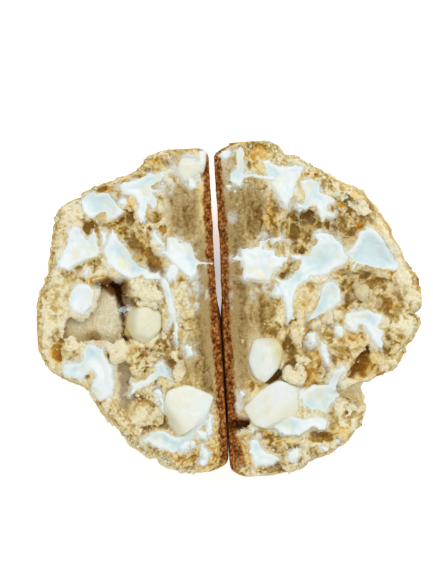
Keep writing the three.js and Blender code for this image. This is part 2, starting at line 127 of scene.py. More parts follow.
# Basins, pockets and torn flakes of the broken faces: height, width of the edge, corners
patches = {
    "left": [
        [-2.9, 1.1, [
            [-33.5, 9.2], [-29, 10.4], [-25.6, 8.8], [-25.2, 3], [-25.6, -2], [-25.4, -6.8], [-30, -8.4],
            [-36, -7.4], [-42.6, -5.4], [-43.6, -2], [-41, 0.4], [-36.6, 0.2], [-34, 2.8], [-33.6, 6],
        ]],
        [-1.7, 1, [
            [-31, 9.4], [-28.6, 10], [-25.8, 8.4], [-25.4, 3], [-25.8, -2.4], [-27, -2], [-27.4, 4],
            [-29, 6.8],
        ]],
        [1.1, 0.5, [
            [-24.7, 8.7], [-21.8, 10.1], [-19, 9.9], [-16.3, 8.5], [-16.4, 4.9], [-18.3, 2], [-22.3, 1.8],
            [-22, 4.1], [-25.9, 4.7], [-25.7, 6.4],
        ]],
        [0.52, 0.5, [
            [-21.4, -12.7], [-19.2, -11.1], [-15.7, -10.6], [-12.6, -10.7], [-12, -9], [-11.6, -11.5],
            [-12.4, -13.2], [-16.5, -12.6], [-19.3, -12.8],
        ]],
        [0.45, 0.5, [
            [-13, -12.1], [-10.4, -12.6], [-10.3, -15.8], [-12, -18.1], [-13.5, -17], [-13.5, -14.2],
        ]],
        [0.45, 0.6, [
            [-31.6, -7.9], [-29.8, -6.8], [-26.7, -7.7], [-25.9, -10], [-26.6, -11.7], [-28.7, -12.6],
            [-30.4, -11.8], [-31.7, -10],
        ]],
        [0.39, 0.6, [[-45.3, 1], [-43.9, 1.2], [-43.6, -2], [-44.8, -2.6]]],
    ],
    "right": [
        [-2.4, 1.3, [
            [32.2, -20.7], [34.6, -18], [36.5, -15.6], [38.6, -13.4], [40.8, -11.4], [39.8, -14.4],
            [37.6, -17.8], [35, -20.4],
        ]],
        [-1.1, 1.8, [[33.4, -21.2], [40.8, -12], [40.6, -16.4], [38, -20.4]]],
        [1.1, 0.5, [
            [29.5, 31.5], [31.4, 31], [33.5, 29.3], [36.1, 29.2], [37.6, 27.9], [36, 26.8], [34, 26.9],
            [32.1, 28.6], [30.2, 29.9],
        ]],
        [1.15, 0.5, [
            [35.6, 26.8], [38, 27.4], [40.8, 26.9], [42.4, 24], [41.8, 22.6], [39, 23.6], [36.3, 25.1],
        ]],
        [1.15, 0.5, [
            [37, 4.3], [37.9, 5.8], [39.1, 4.6], [40.4, 2.5], [39.9, 1.1], [38.5, 0.8], [37.4, 2.3],
        ]],
        [0.9, 0.5, [
            [17.1, 18.2], [19.1, 18.7], [21.4, 17.2], [20.9, 14.4], [19.2, 13.7], [17.7, 15], [17.2, 16.6],
        ]],
        [0.8, 0.5, [[21.9, 25.2], [23.5, 25.5], [24.9, 24.6], [24.3, 21.8], [22.8, 19.5], [21.8, 21.2]]],
        [1.1, 0.4, [
            [14.9, -19], [17.4, -17], [18.3, -16.5], [19, -17.9], [19.8, -17.2], [21.1, -17.1],
            [21.8, -20.1], [20.9, -21.6], [19.6, -21.1], [18, -21.2], [16.4, -20.6],
        ]],
        [0.8, 0.4, [[27.1, -3.6], [29.5, -2.8], [30.5, -4.9], [29.3, -5.6], [28.1, -5]]],
        [0.9, 0.5, [
            [35.3, -26.8], [37.3, -26.4], [37.6, -29.5], [35.1, -30.4], [32.6, -31.5], [33.2, -28.3],
        ]],
        [0.45, 0.5, [[33.8, -31.5], [36.3, -30.9], [36.3, -34.1], [34.3, -36.4], [33.5, -34.3]]],
        [0.45, 0.8, [[33.3, -9.5], [37, -10.5], [40.3, -9.9], [41.4, -11.5], [38.1, -13], [34.1, -12.7]]],
    ],
}

# White chocolate on the broken faces: outline corners, and threads as [x, y, x, y, start and end radius]
chocolates = {
    "chocolate_left_top": {
        "corners": [
            [-36.2, 31.6], [-35.2, 33.2], [-33.6, 33.9], [-31.8, 33.5], [-28.8, 33.6], [-27.8, 32.2],
            [-24.7, 28], [-27, 26.2], [-29.5, 25.8], [-29.9, 28.2], [-32, 27.4], [-33.4, 26.5],
            [-34.6, 27.1], [-36.3, 30.1],
        ],
    },
    "chocolate_left_fork": {
        "corners": [
            [-25.9, 35.3], [-20.3, 36.8], [-17.4, 37.8], [-13.4, 38], [-13.8, 36], [-16.7, 34.5],
            [-17.1, 33.2], [-15.8, 31.2], [-15.5, 29.3], [-16.8, 28], [-18.1, 30], [-18.8, 27.3],
            [-19.2, 24.9], [-20.3, 24.8], [-21.5, 27.2], [-20.5, 30.1], [-22.3, 32.1], [-24.7, 32.8],
        ],
        "threads": [[-17.4, 33.2, -13.6, 33.4, 0.8, 0.25], [-14.6, 36.4, -13, 33.9, 0.5, 0.2]],
    },
    "chocolate_left_star": {
        "corners": [
            [-39.1, 24.6], [-37.2, 24.8], [-36.8, 22.9], [-35.2, 20.9], [-34.1, 21.8], [-33.1, 22.2],
            [-32.4, 19.1], [-32, 17.4], [-32.6, 16.3], [-37.2, 14.7], [-41.1, 13], [-43.7, 13.7],
            [-42.3, 17], [-41.1, 19.6], [-40.2, 23.3],
        ],
        "threads": [[-34, 21, -33.4, 23.2, 0.7, 0.2]],
    },
    "chocolate_left_triangle": {
        "corners": [
            [-28.3, 23.2], [-23.9, 16.9], [-21.5, 13], [-19.4, 12], [-18.5, 10.8], [-16.6, 10.5],
            [-15.6, 8.8], [-19.9, 9.1], [-21.1, 10.5], [-24.4, 9.2], [-24.7, 9.6], [-27.8, 11.7],
            [-29.9, 13.9], [-31, 17.8],
        ],
    },
    "chocolate_left_streak": {
        "corners": [
            [-15.6, 9.2], [-14.2, 8.9], [-12.9, 4], [-12.1, -1], [-12.3, -4.2], [-13.6, -2.2], [-15, 3.6],
        ],
        "threads": [[-12.4, -3.6, -12.6, -8.6, 0.6, 0.2]],
    },
    "chocolate_left_comet": {
        "corners": [
            [-13.4, 20.4], [-11.3, 20], [-10.3, 18.6], [-7.4, 18.3], [-6.5, 17], [-5.8, 14.5], [-4.8, 13.1],
            [-5.7, 12.3], [-6, 9.4], [-7.6, 8.2], [-10.7, 11.4], [-15.3, 16.4], [-13.6, 16.9],
        ],
        "threads": [[-6, 13.2, -1.9, 12.6, 0.75, 0.2]],
    },
    "chocolate_left_oval": {
        "corners": [
            [-41.5, 4.8], [-40.7, 7.3], [-38.4, 9], [-35.6, 8.9], [-34.1, 6.6], [-34.9, 2.8], [-37.8, 0.3],
            [-40.7, 1.5],
        ],
    },
    "chocolate_left_hook": {
        "corners": [
            [-36.9, -7.4], [-34, -8.4], [-32.6, -9], [-31.8, -11.5], [-30.5, -13.8], [-30.1, -16.4],
            [-29.9, -18.7], [-30.9, -21.6], [-32, -22.4], [-34.2, -23.4], [-35.8, -22], [-37, -19.7],
            [-35.2, -16.3], [-35.8, -14.9], [-37.8, -16], [-39.7, -17.1], [-43.1, -15.8], [-44.1, -14.9],
            [-43.4, -12.5], [-40.4, -12.6], [-38.5, -12], [-38.1, -10.6], [-37.8, -8.7],
        ],
    },
    "chocolate_left_curl": {
        "corners": [
            [-26, -22], [-25, -19], [-21.5, -17.9], [-18.6, -15.8], [-18.5, -14.1], [-17, -13.3],
            [-16.1, -14.2], [-15, -16.3], [-13.9, -18.8], [-15.6, -18], [-17.6, -17.6], [-20.4, -19.6],
            [-23.6, -20.6],
        ],
    },
    "chocolate_left_foot": {
        "corners": [
            [-22.9, -34.4], [-19.2, -31.9], [-16.4, -32.6], [-13.6, -34.6], [-9.6, -33.2], [-10.2, -35.4],
            [-11.6, -37.3], [-15.4, -38.1], [-20, -36.5],
        ],
        "threads": [[-11, -34.4, -7.2, -31, 0.9, 0.5], [-7.2, -31, -5.2, -27.6, 0.7, 0.35]],
    },
    "chocolate_right_bar": {
        "corners": [
            [6.6, 43], [7.9, 44.2], [9, 42.9], [8.6, 38.6], [8.2, 36.1], [7.2, 32.9], [4.6, 34.9],
            [5, 37.1], [6.4, 38.1],
        ],
        "threads": [[7.6, 36, 11.7, 35.6, 0.7, 0.45], [11.7, 35.6, 16.2, 34.6, 0.55, 0.7]],
    },
    "chocolate_right_tooth": {
        "corners": [
            [13.6, 39.6], [15.5, 39.5], [17.9, 38], [25.2, 37.7], [23, 33.9], [21.8, 30.5], [19.7, 26.2],
            [17.9, 28.2], [16.1, 32.4], [15.2, 34.3], [14.3, 37.7],
        ],
    },
    "chocolate_right_branch": {
        "corners": [
            [26.7, 34.2], [28.5, 33], [29.1, 30.4], [30.5, 29.6], [32.8, 28.3], [33.1, 27], [30.9, 27.1],
            [30.8, 25], [32.9, 24], [32.5, 23.1], [30.1, 23.2], [29.5, 22.3], [28.8, 22.9], [27.4, 26.3],
            [25.4, 26.4], [22.9, 25.7], [21.6, 26.9], [24.1, 27.8], [24.7, 29.8], [24.3, 31.2],
            [23.6, 33.6],
        ],
    },
    "chocolate_right_wedge": {
        "corners": [
            [38.9, 19], [40.3, 19.2], [41.8, 20], [43.2, 19.2], [45.6, 16.2], [47.3, 12.6], [48.9, 9.7],
            [48.8, 8.2], [47.8, 7.6], [45.9, 8.1], [43.2, 8.6], [40.2, 9.4], [37.8, 10.1], [36.3, 8.8],
            [36.9, 10.7], [36, 11.8], [34.9, 13.3], [35.3, 13.9], [36.6, 14.3], [37.2, 15.3], [38.5, 17.2],
        ],
    },
    "chocolate_right_sweep": {
        "corners": [
            [27, 19.3], [29.9, 19.3], [31.8, 18.5], [32.8, 17], [34.4, 15.5], [34.7, 13.5], [35.2, 11.6],
            [35, 10.5], [33.4, 9.5], [31.2, 8.8], [29.2, 7.6], [24.9, 7.6], [21.5, 5.3], [19.9, 1.4],
            [19.8, -3.5], [17.7, -5.3], [17.4, 2], [15.6, 5.2], [19.6, 7.6], [21.7, 9.7], [23.3, 12.9],
            [24.9, 12.6], [26.3, 15], [27.3, 17.3],
        ],
        "threads": [[24.2, 12.2, 20.4, 12.8, 0.7, 0.2], [18.4, 5.8, 15.4, 7.2, 0.8, 0.3]],
    },
    "chocolate_right_tail": {
        "corners": [
            [29.6, 5.9], [31.5, 5.8], [32.6, 4.4], [33, 2.7], [33.2, 0.3], [31.1, -1.2], [28.7, -2.2],
            [24.7, -4.4], [23.2, -5.7], [24.8, -2.6], [26.6, 0.6], [27.8, 3.9],
        ],
    },
    "chocolate_right_star": {
        "corners": [
            [6.4, 16.1], [10.1, 16.1], [11.2, 16.5], [12.1, 18.1], [12.9, 17.4], [12.5, 15.9], [15.5, 15.2],
            [15.9, 13.7], [16.9, 12.9], [18.8, 12.5], [17.3, 10.7], [15.4, 9.9], [13.9, 7.1], [10.1, 7.1],
            [7, 7.8], [6.5, 8.9], [7, 10.5], [6.3, 12.5],
        ],
        "threads": [
            [7, 13.4, 2.4, 13.6, 0.55, 0.15], [12.4, 17.2, 16.4, 19.2, 0.6, 0.2],
            [16.4, 12.4, 20.6, 13.2, 0.6, 0.2],
        ],
    },
    "chocolate_right_saddle": {
        "corners": [
            [33.8, -3], [37.4, -2.7], [40.4, -2.5], [41.7, -3.5], [43.9, -3.9], [44.1, -5.1], [42.6, -7.4],
            [43.4, -8.5], [43.3, -10.4], [43.9, -12.1], [43.2, -13.4], [42, -12.5], [40.4, -10.7],
            [39.2, -7.2], [37.2, -6.2], [36.2, -8.4], [35.3, -8], [33.6, -6],
        ],
    },
    "chocolate_right_arm": {
        "corners": [
            [20.2, -23.8], [22.3, -23.1], [23.7, -22.1], [26.1, -22], [28, -22.1], [28.6, -20.8],
            [29.6, -19.3], [31, -18.2], [32.7, -16.9], [32.6, -18.8], [31.4, -20.4], [30.4, -22.2],
            [30.7, -25.2], [28.9, -27], [27.1, -29.7], [23.3, -28.9], [20.7, -27.4],
        ],
    },
    "chocolate_right_shelf": {
        "corners": [
            [12.1, -33.2], [13.4, -31.1], [17.2, -29.9], [19.9, -31.2], [24.9, -30.4], [27.5, -31.9],
            [26.8, -34.6], [23, -33.8], [19.6, -35.8], [15.3, -35.5],
        ],
        "lift": 3.2,
    },
    "chocolate_right_foot": {
        "corners": [
            [6, -35.8], [8.1, -36.2], [9.1, -39], [12.8, -40.9], [14.1, -42], [11, -43.3], [7.1, -43.4],
            [6.2, -41.6],
        ],
    },
}

# Macadamia pieces: middle, depth of the middle under the face, bluntness of the edges, and flat sides as
# [azimuth, elevation, distance from the middle]. The side made yellower, as translucent flesh and painted
# shade, is given as azimuth and strength
nuts = {
    "nut_left_top": {
        "at": [-6.6, 38.8], "under": 3.3, "sharpness": 9, "warmShadedSide": [200, 0.3],
        "sides": [
            [134, 0, 4.1], [-148, 0, 3.5], [-109, 0, 4.2], [-24, 0, 4.5], [0, 0, 5.2], [87, 0, 5],
            [80, 84, 3.5], [-60, 62, 4.1], [190, 50, 4.4], [0, -85, 4.6],
        ],
    },
    "nut_left_middle": {
        "at": [-21.2, -3.4], "under": 1.8, "sharpness": 9, "warmth": 0.5, "warmShadedSide": [190, 0.5],
        "sides": [
            [148, 0, 5.7], [-157, 0, 4.5], [-126, 0, 4.7], [-46, 0, 4.2], [0, 0, 5], [63, 0, 5.5],
            [98, 0, 5.4], [4, 72, 3.9], [168, 44, 4.3], [-100, 40, 4.6], [0, -85, 5],
        ],
    },
    "nut_left_large": {
        "at": [-10.6, -27], "under": 2.4, "sharpness": 20, "warmShadedSide": [215, 0.5],
        "sides": [
            [159, 0, 6.8], [-170, 0, 6.8], [-139, 0, 7.1], [-65, 0, 5.3], [-21, 0, 5.9], [64, 0, 6.5],
            [105, 0, 6.7], [70, 84, 4.1], [206, 48, 5.6], [-40, 50, 5.8], [0, -80, 5.6],
        ],
    },
    "nut_right_small": {
        "at": [11.6, -14.3], "under": 1.2, "sharpness": 11, "warmShadedSide": [20, 0.9],
        "sides": [
            [159, 0, 4.9], [-163, 0, 4.9], [-120, 0, 6.1], [-46, 0, 4.4], [-16, 0, 4.2], [24, 0, 5.4],
            [92, 0, 6.1], [172, 68, 3.9], [-8, 60, 4], [84, 44, 4.9], [0, -85, 5.2],
        ],
    },
    "nut_right_large": {
        "at": [13.2, -27.2], "under": 2.2, "sharpness": 22, "warmShadedSide": [-60, 0.5],
        "sides": [
            [132, 0, 5.7], [-151, 0, 7.7], [-111, 0, 6.7], [-58, 0, 5.4], [7, 0, 7.1], [66, 0, 7.1],
            [114, 0, 5.8], [160, 80, 4], [-15, 74, 4.2], [-66, 40, 5.6], [0, -80, 5.6],
        ],
    },
}

# Zones of the broken faces by look: middle x and y, half sizes, turn, strength. Pulled is dough drawn out
# in strands, beads are the round grains by the rim, baked is browned dough and smear is a film of chocolate.
# The zone before baked is shadow painted into the darkest hollows
zones = {
    "left": {
        "smooth": [
            [-8.1, 27.5, 5.4, 9.8, 0, 1], [-5.0, -0.7, 2.8, 25, 0, 0.85], [-29.8, 0.6, 5.2, 8.6, 0, 1],
            [-38.4, -2.2, 5.4, 3.8, 0, 1], [-27.5, -19.2, 3.2, 8, 6, 1], [-9.5, -12.4, 3.2, 7, 0, 0.5],
            [-12.6, 32, 2, 3, 0, 0.7], [-13.5, 28.4, 2.4, 3.2, 0, 0.9], [-9, 4.5, 4.4, 8, 0, 0.6],
            [-23.2, -26.5, 3.8, 2.8, 0, 0.7], [-14.9, -14.6, 1.6, 2.1, 0, 1], [-12, -36.5, 5, 3, 0, 0.5],
            [-8, 39, 8, 4, 0, 0.7],
        ],
        "pulled": [[-8, 26, 6, 12, 0, 0.6], [-9, -12, 4.4, 12, 0, 0.8], [-20, 14, 6, 9, 30, 0.4]],
        "beads": [[-41, 27, 4, 6, 20, 1], [-45.6, 4, 2.6, 20, 0, 0.8], [-44, 12, 2.4, 4, 0, 0.8]],
        "olive": [
            [-8.1, 27.0, 5.6, 10, 0, 0.75], [-4.4, -2, 2.8, 30, 0, 0.95], [-27.7, -18.7, 2.2, 7.4, 6, 0.4],
            [-8.6, -12.6, 3.6, 8, 0, 0.6], [-14.9, -14.6, 1.5, 2, 0, 0.7], [-10, 17, 5, 4, 0, 0.3],
        ],
        # amber: golden dough in the hollows and pits, darker still as painted shade
        "amber": [
            [-20, 16.8, 9, 4, -58, 0.85], [-23.6, 25, 5.4, 2.2, -55, 0.6], [-34.9, 23.6, 2.6, 3.6, 0, 0.5],
            [-27.6, 32.6, 4.4, 2, -20, 0.8], [-26, 5, 2.6, 4.6, 0, 1], [-26, -4.4, 1.6, 4.4, 0, 0.9],
            [-45.4, -8, 2.4, 5, 0, 0.6], [-15.2, -15.4, 2.6, 3.6, 0, 0.6], [-19, -10, 5, 2, 30, 0.5],
            # the row at -31.4, 9.9 paints the shadow along the top of the basin
            [-31.4, 9.9, 5, 1.6, 8, 0.5], [-18.4, -28.4, 5, 5, 0, 0.4], [-13, 20, 3, 3, 0, 0.5],
            [-11, -40, 8, 3, -10, 0.4], [-42, 17, 3, 6, 0, 0.3], [-15, -3, 3, 6, 0, 0.35],
        ],
        "grey": [
            [-30.6, -0.4, 5.4, 7.6, 0, 1], [-38.4, -2.2, 5.4, 3.8, 0, 0.9],
            [-27.4, -19.4, 2.8, 6.6, 6, 0.7], [-24.8, 30.8, 1.6, 1.5, 0, 0.8],
        ],
        "gold": [
            [-28.2, 33.6, 2.8, 1.5, -20, 1], [-19.1, 16.4, 7.4, 1.5, -60, 0.5],
            [-23.2, -24.4, 4, 1.2, 10, 0.5], [-22.4, 30.2, 1.3, 1.5, 0, 0.9], [-45.7, -9.2, 1.7, 2.7, 0, 1],
            # the row at -31.4, 10.2 paints the shadow along the top of the basin in gold
            [-15.6, 21.7, 1.8, 1.6, -30, 0.9], [-3.0, 32, 1.7, 10, 0, 0.8], [-31.4, 10.2, 5.6, 1.2, 8, 0.8],
            [-13.2, -4.6, 1.2, 4.2, 0, 0.6], [-22, -32.2, 3.4, 2, 40, 0.4], [-37.4, -16.8, 2, 2, 0, 1],
            [-3.2, -35, 1.6, 7, 0, 1], [-17.4, 41, 4.8, 1.4, 12, 0.8], [-24.6, 37, 3.4, 0.9, 24, 0.6],
            [-39.6, -11.6, 1.6, 1.6, 0, 0.5], [-10, -40.6, 8, 2.4, -12, 0.5],
            [-16.4, -20.8, 1.4, 4, 10, 0.5], [-12.6, 6, 1, 4, 0, 0.4],
        ],
        "cream": [
            [-44.6, 8, 1.8, 10, 10, 0.9], [-46.6, -4, 2, 9, 0, 0.9], [-29.3, -9.6, 3.4, 3.2, 0, 0.35],
            [-40.6, -5.4, 2.6, 4, 0, 0.8], [-32.6, 13.2, 7, 2.2, 12, 0.6], [-20.6, 6.2, 4.6, 3, 0, 0.5],
            [-15.4, -11.6, 4, 1.2, 0, 1], [-19.6, -22.6, 2.6, 4, 0, 0.8], [-39.6, 27.6, 3.6, 5.6, 20, 0.9],
            [-8.8, -6.4, 2.4, 6.4, 0, 0.6], [-44.4, -0.7, 1, 2, 0, 1], [-36.1, 11.8, 0.9, 1.3, 0, 1],
            [-13.5, 28.4, 2.2, 2.9, 0, 1], [-10.6, 3.6, 2.6, 4.4, 0, 1], [-35.6, 2, 1.9, 1.8, 0, 1],
            [-32.4, -24.7, 1.1, 1, 0, 1], [-28.4, -28.1, 0.9, 1, 0, 1], [-9.6, 37, 4, 3, 0, 0.8],
            [-12, 13, 1.6, 1.6, 0, 0.6], [-24.6, -31, 2, 1.4, 0, 0.8], [-23.2, -26.6, 4.4, 3.2, 0, 1],
        ],
        # painted shadow in the darkest hollows and under overhangs
        "paintedShadow": [
            [-29.2, 8.2, 5.8, 2.5, -8, 1], [-26.4, 2.6, 1.9, 7, 0, 0.8], [-26.3, -6.6, 1, 1.6, 0, 0.6],
            [-33.4, 22.6, 0.6, 2, -20, 0.5], [-20.6, 17.6, 6.6, 0.7, -60, 0.5],
            [-37.2, -16.2, 1, 0.8, 0, 0.7], [-24.9, -21.4, 0.6, 2.6, 0, 0.5],
            [-15.7, -15.4, 0.8, 2, 0, 0.5], [-29, 33.4, 2, 0.8, -20, 0.4], [-17.2, -6.6, 0.6, 2.2, 0, 0.4],
            [-31.6, 10.2, 2.6, 0.6, 0, 0.6],
        ],
        "baked": [[-2.4, -40, 0.8, 2.4, 0, 0.5]],
        "smear": [
            [-7.4, 3.6, 2.5, 4.8, 0, 0.75], [-8.1, 10.3, 2.8, 2.4, 0, 0.9], [-12.7, 10.1, 2, 2.6, 0, 0.5],
            [-3.3, 5.2, 1, 2.6, -5, 0.75], [-4.9, -31.6, 1.3, 2.6, 0, 1], [-6.9, -39.6, 1.3, 3.4, 8, 0.8],
            [-12.5, -36.9, 2.6, 2, 0, 0.9], [-9.5, -11.1, 1.1, 1.5, 0, 0.6], [-30.7, 21.4, 1.2, 2, 0, 0.7],
            [-16.2, 19.9, 1.2, 2.4, 30, 0.7], [-5.6, 34.4, 1.4, 1.9, 20, 0.9],
            [-24.4, 31.2, 1.2, 1.2, 0, 0.3], [-13.9, -1.7, 0.8, 3.8, 0, 0.9], [-7, -34.4, 2.6, 1.4, 0, 0.9],
            [-17.6, -23.6, 1.4, 5, 12, 0.7], [-6.5, 39.5, 6, 4.6, 0, 0.9], [-12.6, 33, 2, 2.4, 0, 0.5],
            [-41, -12, 3, 2, 0, 0.4], [-22.4, -34.6, 3, 2, 0, 0.4],
        ],
    },
    "right": {
        "smooth": [
            [4.7, 3.5, 3.4, 37, 0, 0.85], [9.4, 27, 4.4, 8, 0, 0.65], [9.6, 2, 4, 6, 0, 0.5],
            [48.4, 2.1, 2.4, 2.6, 0, 0.8], [42.0, -0.2, 2, 2.3, 0, 0.8], [8.6, -5.4, 5, 2.4, 0, 0.5],
            [22.8, 2.0, 2.6, 4.6, -4, 1], [23.3, -19.7, 1.8, 3.4, 0, 0.8], [12.4, 40.9, 2.6, 3.4, 0, 0.8],
            [30.2, -34, 3, 3, 0, 0.6], [26, -11.6, 3.4, 4.6, 0, 0.5], [37.6, -10.8, 4, 1.8, 0, 0.8],
            [45, 1.6, 5, 4, 0, 0.5], [35, 33.4, 10, 1.6, -42, 0.7], [46.4, 20, 6, 1.6, -65, 0.7],
            [50.5, 6, 1.6, 8, 0, 0.6], [3.6, -26, 1.8, 4, 0, 0.8], [37.8, -18.4, 4.6, 2.8, 46, 0.9],
        ],
        "pulled": [[10, 26, 7, 12, 0, 1], [9, -2, 5, 9, 0, 0.9], [18, 22, 4, 7, 0, 0.5]],
        "beads": [[49, -12, 2.4, 9, 24, 0.4], [40, 25, 2, 3, 40, 0.5]],
        "olive": [
            [4.2, 6, 4.2, 36, 0, 1], [10, 26, 6, 9, 0, 0.8], [9, -2, 5, 9, 0, 0.6],
        ],
        # amber: golden dough in the hollows and pits, darker still as painted shade
        "amber": [
            [29, 21, 12, 6, -15, 0.75], [18.6, 23, 4.6, 9, 0, 0.6], [39.6, 4.6, 8, 6, 10, 0.5],
            [46.4, -1, 4, 9, 0, 0.3], [18, -12.4, 2.4, 5, 0, 0.9], [26, -9, 6, 8, 0, 0.35],
            [37.4, -16.6, 5.6, 2, 45, 0.6], [19.6, 10, 4, 3.4, 0, 0.7], [28, -17, 3, 6, 0, 0.45],
            [14, -38, 8, 3, 0, 0.3], [41, -11.6, 6, 3, -20, 0.5], [18.6, -1.6, 2, 4, 0, 0.5],
            [34, 2.6, 4, 4, 0, 0.5], [26, 32, 3, 4, 0, 0.5], [13.6, -19.4, 2.6, 1.4, 30, 0.9],
            [46, 14, 3, 5, 20, 0.3],
        ],
        "grey": [
            [48.4, 2.1, 2.4, 2.6, 0, 0.3], [42.0, -0.2, 2, 2.3, 0, 0.3], [3.5, -26.2, 1.6, 3.4, 0, 0.9],
        ],
        "gold": [
            [12.4, 40.9, 3, 4, 0, 1], [23.3, -19.7, 1.8, 3.2, 0, 0.9], [22.7, 1.9, 2.6, 4.4, -4, 0.35],
            [26, 34.9, 2.6, 1, 5, 1], [38.1, 28.8, 1.3, 1.1, 0, 1], [34.4, 26.5, 1, 1.4, 0, 0.9],
            [38.8, 20.4, 1, 1.1, 0, 1], [44.2, 19.5, 1.5, 1.3, 0, 0.9], [46.4, -0.5, 1.8, 2.8, 0, 0.5],
            [46.8, 6.6, 1.2, 1.6, 0, 0.7], [37.8, -17.8, 4.6, 2.6, 42, 1.3],
            [30.7, -35.4, 3.2, 1.6, 0, 0.7], [24.6, 31.6, 1.0, 2.6, 0, 0.8], [14.6, 23.6, 1.8, 2.2, 0, 0.8],
            [4.6, -39.4, 1.4, 3.6, 0, 1], [36, -10.7, 4.6, 1.8, -5, 0.7], [16, -36.4, 7, 2.2, -6, 0.6],
            [7.4, -21.4, 2, 2.6, 30, 0.8], [18, -21.8, 2, 1, 0, 0.8], [6.6, -41.4, 1.6, 2, 0, 0.9],
            [15, 27.6, 1, 3, 0, 0.6], [28.6, 36.6, 6, 0.9, -22, 0.5], [25.4, -15.4, 1.6, 3.4, 0, 0.5],
        ],
        "cream": [
            [36.6, 28.6, 8.4, 1.9, -36, 1], [38.6, 3.2, 2.1, 2.7, 0, 1], [18.4, -19, 4, 2.8, 10, 1.3],
            [50.6, -7.6, 2.2, 5, 20, 0.9], [48.6, -15, 3, 1.2, 35, 0.9], [32.4, -28.6, 4.2, 1.6, 14, 0.6],
            [19.2, 16.2, 2.4, 2.8, 0, 1], [26.6, 20.6, 1.5, 1.3, 0, 0.8], [29, -4.2, 1.8, 1.4, -20, 1],
            [18.4, -8, 3.6, 1.6, -10, 0.7], [35, 33.8, 10, 1.4, -42, 1], [20, 40, 6, 1.6, -14, 0.8],
            [24, -39.6, 10, 1.4, 12, 0.7], [50.4, 5.6, 1.6, 8, 0, 0.9], [46.6, 20.4, 6, 1.4, -65, 0.9],
            [23.1, 22.7, 1.5, 2.6, 0, 0.9], [27.4, 6.8, 1.9, 1.1, 0, 1], [21.1, -15.4, 2, 1.8, 0, 0.7],
            [34.9, -33.2, 1.7, 2.6, 0, 1], [36.4, -28.3, 1.4, 2, 0, 1], [22.7, -30.9, 2, 1.6, 0, 0.6],
            [15.6, 3.9, 1.4, 1.8, 0, 0.8], [31, -33, 3.4, 3.2, 0, 0.6], [35, -21.9, 4.6, 0.8, 0, 0.9],
            [2.6, -43, 2, 1.6, 0, 0.9], [5, 40, 1.6, 4, 0, 0.5],
        ],
        # painted shadow in the darkest hollows and under overhangs
        "paintedShadow": [
            [36.6, -15.8, 5.6, 0.7, 47, 1], [37.6, -17.9, 4.6, 2.6, 48, 0.36],
            [16.4, -17.6, 0.9, 2.6, -25, 0.6], [13, -20, 2.6, 0.9, 20, 1], [3.6, -31.6, 2.2, 2, 0, 1],
            [25.6, 21, 1.4, 2.4, 0, 0.2], [31, 24.2, 1.2, 1.6, 0, 0.2], [21, 12.2, 1.4, 0.9, 0, 0.4],
            [7.6, -21, 1.6, 2.2, 30, 0.4], [38.4, 21.4, 0.9, 1, 0, 0.4], [29, 31.8, 1.8, 0.7, -30, 0.4],
            [46, 0.4, 1.2, 1.8, 0, 0.25],
        ],
        "baked": [[2.2, -39.6, 1.9, 5.4, 0, 1], [2.2, -31, 1.6, 3, 0, 1]],
        "smear": [
            [3.2, 3.8, 1, 3.6, 0, 0.8], [3.6, -25.5, 1.4, 3.4, 0, 0.5], [3.6, 42.2, 2, 1.7, 0, 0.9],
            [5.6, 36, 1.6, 4, 0, 0.4], [24.4, -10.2, 2.4, 2.2, 10, 0.6], [27.8, -13.6, 1, 3.2, 5, 0.8],
            [17.8, -40.7, 1.6, 1.5, 20, 0.5], [8.2, 2.7, 1.8, 2, 0, 0.3], [11.6, 5.6, 3, 2, 0, 0.5],
            [4.9, 25, 1, 2.2, 0, 0.5], [8.4, -37.6, 1.6, 3, 20, 0.7], [31.7, -8.2, 1.3, 1.9, 8, 0.6],
            [21.8, 12.9, 1.8, 0.8, -10, 0.8], [20, 35, 3, 4, 0, 0.3], [7.2, -33.4, 2, 1, 0, 0.7],
            [23.1, 26.5, 1.6, 1.4, -20, 0.6], [12.5, 18.9, 2, 1.7, 0, 0.5], [15.8, 4, 1.1, 1.6, 0, 0.5],
            [40.6, -5.6, 3, 2, 0, 0.5], [26.4, -30, 2, 1.6, 0, 0.6],
        ],
    },
}

# Small chips of white chocolate: middle x and y, half sizes, turn, height
chips = {
    "left": [
        [-30.7, 21.4, 0.9, 1.6, 0, 0.5], [-24.8, 30.8, 1.2, 1.0, 30, 0.6], [-5.6, 34.6, 0.9, 1.5, 20, 0.5],
        [-16.2, 20.2, 0.6, 2.2, 32, 0.4], [-12.8, 10.4, 1.4, 2.3, -25, 0.7],
        [-26.4, 1.4, 1.4, 0.6, -5, 0.5], [-9.3, -11.0, 0.9, 1.3, 0, 0.6], [-12.3, -37.0, 1.6, 1.0, 20, 0.5],
        [-7.0, -33.8, 1.5, 0.8, -35, 0.5], [-4.9, -31.4, 0.7, 2.0, -8, 0.4],
        [-6.7, -38.6, 0.7, 2.2, 10, 0.5], [-7.2, -41.4, 0.9, 0.9, 0, 0.5], [-10.0, -36.4, 0.8, 0.9, 0, 0.5],
        [-36.1, 11.8, 0.7, 1.0, 0, 0.5], [-18.2, -21.6, 0.6, 1.4, 30, 0.4],
        [-17.3, -25.4, 0.5, 1.6, 10, 0.4],
    ],
    "right": [
        [3.8, 42.0, 1.5, 1.1, 10, 0.4], [4.3, 33.3, 0.5, 0.4, 0, 0.3], [31.7, -8.2, 0.9, 1.6, 5, 0.5],
        [17.7, -40.7, 1.6, 1.0, 35, 0.6], [26.1, -39.7, 1.3, 0.6, -20, 0.5],
        [30.1, -38.0, 0.9, 0.5, -30, 0.4], [4.5, -23.4, 0.5, 0.7, 0, 0.4], [15.8, 3.9, 0.9, 1.3, 0, 0.5],
        [23.2, 26.6, 1.4, 0.6, -28, 0.5], [24.4, -9.4, 1.0, 1.5, 10, 0.4], [27.7, -13.4, 0.7, 2.5, 8, 0.4],
        [21.6, 12.8, 1.5, 0.5, -12, 0.4], [16.0, 17.8, 1.4, 0.4, 25, 0.3], [28.0, 19.8, 0.6, 0.5, 0, 0.3],
    ],
}

